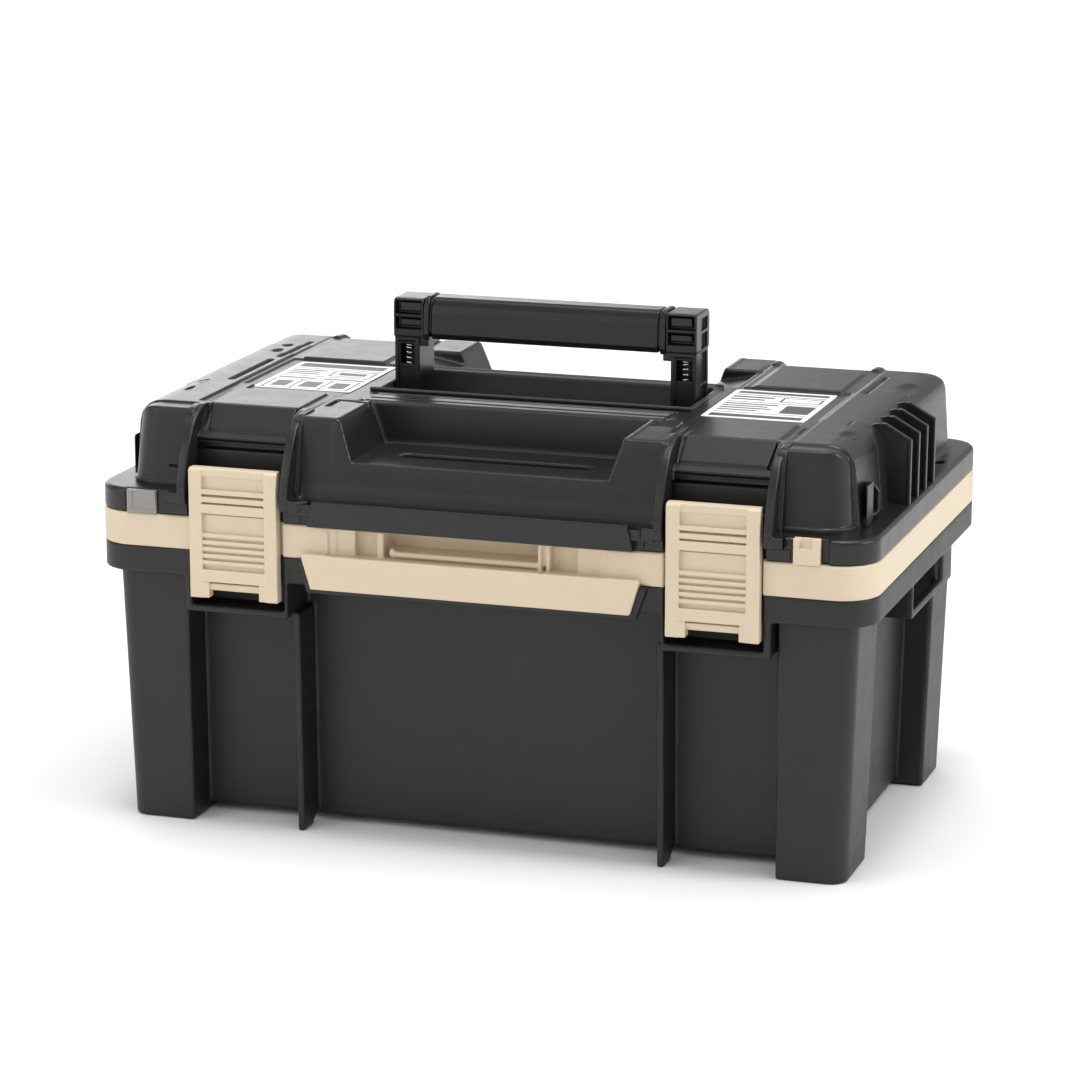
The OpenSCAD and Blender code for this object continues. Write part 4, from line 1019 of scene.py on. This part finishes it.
def build_posts():
    """End blocks of the handle: a cap with open cells, and a leg that slides in the well's sleeve."""
    F = Field((87.6, POST_Y0 - 1, POST_BOT), (113.4, POST_Y1 + 1.4, 358.5), 0.5)
    cx0, cx1 = 90.7, 113.2
    yf, yr = POST_Y0 - 1, POST_Y1 + 1.4
    F.add(rbox(POST_X0, POST_Y0, POST_BOT, POST_X1, POST_Y1, 334, 0.8))
    F.add(prism(0, cx0, cx1, [(yf, 330.4), (yr, 330.4), (yr, 352)] + curve([(yr - 0.8, 355.2), (yr - 3, 357.4), (yr - 6.4, 358.3)], 3) + curve([(yf + 5.6, 358.3), (yf + 2.0, 357.6), (yf + 0.4, 355.8)], 3) + [(yf, 351)], 0.6), 0.2)
    F.add(rbox(87.8, -8, 323.6, POST_X0 + 2, 18, 331.2, 0.6), 0.2)
    # front: two cells, each with a block set back inside it
    for z0, z1 in ((336.2, 344.2), (347.0, 356.4)):
        F.cut(rbox(cx0 + 1.4, yf - 5, z0 - 0.4, cx1 - 1.4, yf + 7.5, z1 + 0.4, 0.3), 0.25)
        F.add(rbox(cx0 + 2.4, yf + 3.4, z0 + 1.6, cx1 - 4.2, yf + 8, z1 - 1.4, 0.4), 0)
    # outer side: cells in the cap, and recesses down the leg
    F.cut(rbox(cx1 - 2.4, 1.6, 331.6, cx1 + 4, 17.6, 342.2, 0.4), 0.25)
    F.cut(rbox(cx1 - 2.4, 1.6, 344.6, cx1 + 4, 17.6, 353.2, 0.4), 0.25)
    F.cut(rbox(POST_X1 - 2.0, 1.8, 306, POST_X1 + 4, 17.6, 328, 0.4), 0.25)
    F.cut(rbox(POST_X1 - 2.0, 1.8, 266, POST_X1 + 4, 17.6, 304, 0.4), 0.25)
    # front of the leg: a channel, the spring's window, and a rib beside it
    F.cut(rbox(POST_X0 + 2.6, POST_Y0 - 5, 258, POST_X1 - 2.8, POST_Y0 + 1.7, 327, 0.4), 0.25)
    F.cut(cyl(2, (BX, BY), 3.66, POST_BOT - 1, 330))
    F.cut(cyl(2, (BX, BY), 4.9, 262, 324.5))
    F.cut(rbox(BX - 5.4, POST_Y0 - 5, 310, BX + 5.4, BY + 4.9, 324.5, 0.4), 0.3)
    F.add(rbox(BX - 6.6, POST_Y0 + 0.1, 296, BX - 5.5, POST_Y0 + 3, 326, 0.4), 0.1)
    F.cut(cyl(0, (4, 345), 5.04, 86, POST_X0 + 13))
    co, quads = F.mesh()
    for sx, name, node in ((1, "post_moulding_right", "handle_post_right"), (-1, "post_moulding_left", "handle_post_left")):
        c2 = co.copy()
        q2 = quads
        if sx < 0:
            c2[:, 0] *= -1
            q2 = quads[:, ::-1]
        ob = new_object(name, c2, np.ascontiguousarray(q2))
        m = ob.modifiers.new("decimate", "DECIMATE")
        m.ratio = min(1.0, 40000 / (2 * len(quads)))
        m.use_collapse_triangulate = True
        bake_modifiers(ob)
        smooth(ob)
        piece(ob, "handle", [node], M_GRIP)
    tick("posts %d" % len(quads))


def build_springs():
    for sx, side in ((-1, "left"), (1, "right")):
        steps, k, turns, r, wire, z0, z1 = 6 * 40, 12, 6, 3.8, 0.6, 306.7, 323.8
        co, faces = [], []
        for i in range(steps + 1):
            t = i / steps
            a = 2 * math.pi * turns * t
            # closed and ground end turns
            u = 0.5 - 0.5 * math.cos(math.pi * min(1, max(0, (t - 0.08) / 0.84)))
            u = 0.35 * u + 0.65 * min(1, max(0, (t - 0.08) / 0.84))
            z = z0 + 0.5 * 1.3 * min(1, t / 0.08) * 0.5 + (z1 - z0 - 0.65) * u
            for j in range(k):
                b = 2 * math.pi * j / k
                rr = r + wire * math.cos(b)
                co.append((sx * (BX + rr * math.cos(a)), BY + rr * math.sin(a), z + wire * math.sin(b)))
        for i in range(steps):
            for j in range(k):
                q = [i * k + j, i * k + (j + 1) % k, (i + 1) * k + (j + 1) % k, (i + 1) * k + j]
                faces.append(q[::-1] if sx > 0 else q)
        ob = new_object("coil_spring_" + side, np.array(co), np.array(faces))
        bm = bmesh.new()
        bm.from_mesh(ob.data)
        bmesh.ops.holes_fill(bm, edges=[e for e in bm.edges if e.is_boundary], sides=0)
        bmesh.ops.recalc_face_normals(bm, faces=bm.faces)
        bm.to_mesh(ob.data)
        bm.free()
        smooth(ob, False)
        piece(ob, "handle", ["pop_spring_" + side], M_SPRING)
        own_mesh(ob)


# ------------------------------------------------------------------ tray
def build_tray():
    F = Field((-210, -125, 109), (0, 125, 182), 1.1)
    x0, x1, lz = -210.0, 0.0, 158.0
    zt, zb = lz + 3.4, lz - 48
    F.add(rrectz(210, 232, 6, zb, zt, 1.2, -105, 0))
    F.add(rrectz(210, 249, 3, lz + 0.4, zt, 0.8, -105, 0), 0.6)
    F.cut(rrectz(205.2, 227.2, 4, zb + 2.5, zt + 20, 1.5, -105, 0), 0.5)
    F.add(prism(1, -2, 2, [(x0 + 1, zb + 1), (x1 - 1, zb + 1), (x1 - 1, zt), (x1 - 40, zt), (x1 - 58, 181), (x0 + 58, 181), (x0 + 40, zt), (x0 + 1, zt)], 1.2, 0.9), 0.8)
    for x in (68, 138):
        F.add(rbox(x0 + x, -115, zb + 1, x0 + x + 2.6, -1, zt - 8, 0.4), 0.8)
    F.add(rbox(x0 + 104, 1, zb + 1, x0 + 106.6, 115, zt - 8, 0.4), 0.8)
    F.cut(prism(1, -12, 12, [(x0 + 66, 145), (x1 - 66, 145), (x1 - 52, 152), (x1 - 52, 166), (x1 - 66, 173), (x0 + 66, 173), (x0 + 52, 166), (x0 + 52, 152)], 3.0, 0), 0.8)
    finish_field(F, "tray_moulding", "tray", ["tote_tray"], M_TRAY, 70000)


# ------------------------------------------------------------------ labels
def build_labels():
    """Generic write-on labels: a frame, a header bar, ruled lines and blank boxes."""
    prints = {
        # rectangles in label coordinates, u to the right and v to the back, from the label's middle
        -1: [(-33, 31, 33, 44), (-33, 25.4, 33, 27), (-33, 18, -6, 21.4), (-33, 11.6, -10, 15), (-33, 5.2, -8, 8.6), (0, 3, 33, 4.6), (0, 20.4, 33, 22), (0, 3, 1.6, 22), (31.4, 3, 33, 22), (6, 8, 27, 16.6),
             (-33, -2, 33, -0.4), (-33, -10.6, -4, -6.6), (2, -10.6, 33, -6.6), (-33, -46, 33, -44.2), (-33, -15.6, 33, -14), (-33, -46, -31.2, -14), (31.2, -46, 33, -14),
             (-12, -46, -10.4, -14), (10.4, -46, 12, -14), (-28, -40, -16, -20), (-7, -40, 7, -20), (16, -40, 28, -20)],
        1: [(-33, 37, 33, 44), (-33, 31, 33, 33), (-33, 22.6, -3, 27), (-33, 15, -8, 19), (3, 13, 33, 14.8), (3, 26.4, 33, 28.2), (3, 13, 4.8, 28.2), (31.2, 13, 33, 28.2),
            (-33, 6.6, 33, 8.4), (-33, -1, 6, 2.6), (-33, -8, 0, -4.6), (-33, -15, 4, -11.4), (-33, -22, -4, -18.6), (12, -24, 33, 2.6), (-33, -29.6, 33, -28), (-33, -43.6, 33, -34.6)],
    }
    for sx, name in ((-1, "label_sheet_left"), (1, "label_sheet_right")):
        cx, cy = sx * 166.65, -9.5
        rects = prints[sx]
        us = sorted({-37.0, 37.0, -35.4, 35.4} | {float(r[0]) for r in rects} | {float(r[2]) for r in rects})
        vs = sorted({-48.5, 48.5, -46.9, 46.9} | {float(r[1]) for r in rects} | {float(r[3]) for r in rects})
        bm = bmesh.new()
        grid = {}
        zt = DECK + 0.3

        def corner(u, v):
            # round the four corners of the sheet
            if abs(u) > 36.9 and abs(v) > 48.4:
                u = math.copysign(36.4, u)
                v = math.copysign(47.9, v)
            return u, v
        for i, u in enumerate(us):
            for j, v in enumerate(vs):
                a, b = corner(u, v)
                grid[i, j] = bm.verts.new(((cx + a) * MM, (cy + b) * MM, zt * MM))
        for i in range(len(us) - 1):
            for j in range(len(vs) - 1):
                f = bm.faces.new((grid[i, j], grid[i + 1, j], grid[i + 1, j + 1], grid[i, j + 1]))
                um, vm = (us[i] + us[i + 1]) / 2, (vs[j] + vs[j + 1]) / 2
                if any(r[0] < um < r[2] and r[1] < vm < r[3] for r in rects):
                    f.material_index = 1
        r = bmesh.ops.extrude_face_region(bm, geom=list(bm.faces))
        bmesh.ops.translate(bm, verts=[v for v in r["geom"] if isinstance(v, bmesh.types.BMVert)], vec=(0, 0, -0.29 * MM))
        for f in bm.faces:
            if f.calc_center_median().z < (zt - 0.05) * MM:
                f.material_index = 0
        bmesh.ops.recalc_face_normals(bm, faces=bm.faces)
        me = bpy.data.meshes.new(name)
        bm.to_mesh(me)
        bm.free()
        ob = bpy.data.objects.new(name, me)
        scene.collection.objects.link(ob)
        me.materials.append(M_PAPER)
        me.materials.append(M_INK)
        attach(ob, "lid")
        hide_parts("label_left" if sx < 0 else "label_right")


# ------------------------------------------------------------------ build
build_lid()
build_channels()
build_front_edge()
build_hoods()
build_fins()
build_well()
build_tub()
build_band()
build_tabs()
build_latches()
build_grip()
build_posts()
build_springs()
build_tray()
build_labels()

# CAD nodes that are right as they are get their materials, and a small bevel
for n, m in (("hinge_pin_left", M_STEEL), ("hinge_pin_right", M_STEEL), ("latch_pin_left", M_PIN), ("latch_pin_right", M_PIN),
             ("handle_core", M_STEEL), ("stop_plate_left", M_STEEL), ("stop_plate_right", M_STEEL), ("plunger_left", M_STEEL), ("plunger_right", M_STEEL),
             ("socket_cap_left", M_GREY), ("socket_cap_right", M_GREY)):
    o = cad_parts[n]
    for s in o.material_slots:
        s.material = m
    if not o.material_slots:
        o.data.materials.append(m)
    b = o.modifiers.new("bevel", "BEVEL")
    b.width = 0.0004
    b.segments = 2
    b.limit_method = "ANGLE"
    b.angle_limit = math.radians(40)

# ------------------------------------------------------------------ floor and light
def build_stage():
    """Plain pale floor, large enough to fill the view behind the case."""
    bm = bmesh.new()
    n = 8
    vs = [[bm.verts.new((-40 + 80 * i / n, -40 + 80 * j / n, 0)) for j in range(n + 1)] for i in range(n + 1)]
    for i in range(n):
        for j in range(n):
            bm.faces.new((vs[i][j], vs[i + 1][j], vs[i + 1][j + 1], vs[i][j + 1]))
    me = bpy.data.meshes.new("floor")
    bm.to_mesh(me)
    bm.free()
    ob = bpy.data.objects.new("floor", me)
    scene.collection.objects.link(ob)
    m, nt, b, tc = base_material("floor_white")
    n = noise(nt, tc.outputs["Object"], 3.0, 2.0, 0.5)
    nt.links.new(ramp(nt, n, [(0.3, (0.875, 0.875, 0.875)), (0.7, (0.885, 0.885, 0.885))]), b.inputs["Base Color"])
    b.inputs["Roughness"].default_value = 0.8
    b.inputs["Specular IOR Level"].default_value = 0.1
    me.materials.append(m)


def sun(name, direction, strength, angle):
    """Even light from a large soft source, as from a studio's ceiling or wall."""
    l = bpy.data.lights.new(name, "SUN")
    l.energy = strength
    l.angle = math.radians(angle)
    o = bpy.data.objects.new(name, l)
    scene.collection.objects.link(o)
    o.location = Vector(direction) * 4
    o.rotation_euler = Vector(direction).to_track_quat("Z", "Y").to_euler()
    return o


build_stage()
sun("ceiling_soft", (0.08, -0.02, 1.0), 1.20, 48)
sun("ceiling_strip", (0.02, -0.06, 1.0), 0.66, 12)
sun("right_key", (1.0, 0.06, 0.50), 1.35, 22)
sun("back_left", (-0.72, 1.0, 0.32), 0.74, 38)
sun("front_fill", (-0.10, -1.0, 0.42), 0.16, 22)
soft = bpy.data.lights.new("left_front_box", "AREA")
soft.energy = 9.0
soft.shape = "SQUARE"
soft.size = 1.2
soft_ob = bpy.data.objects.new("left_front_box", soft)
scene.collection.objects.link(soft_ob)
soft_ob.location = (-1.6, -1.7, 1.1)
soft_ob.rotation_euler = (soft_ob.location - Vector((-0.15, -0.1, 0.15))).to_track_quat("Z", "Y").to_euler()

world = bpy.data.worlds.new("world")
scene.world = world
world.use_nodes = True
bg = world.node_tree.nodes["Background"]
bg.inputs[0].default_value = (1, 1, 1, 1)
bg.inputs[1].default_value = 0.52
scene.view_settings.view_transform = "Standard"
scene.view_settings.look = "None"
scene.view_settings.exposure = 0.0
scene.view_settings.gamma = 1.0

tick("done")
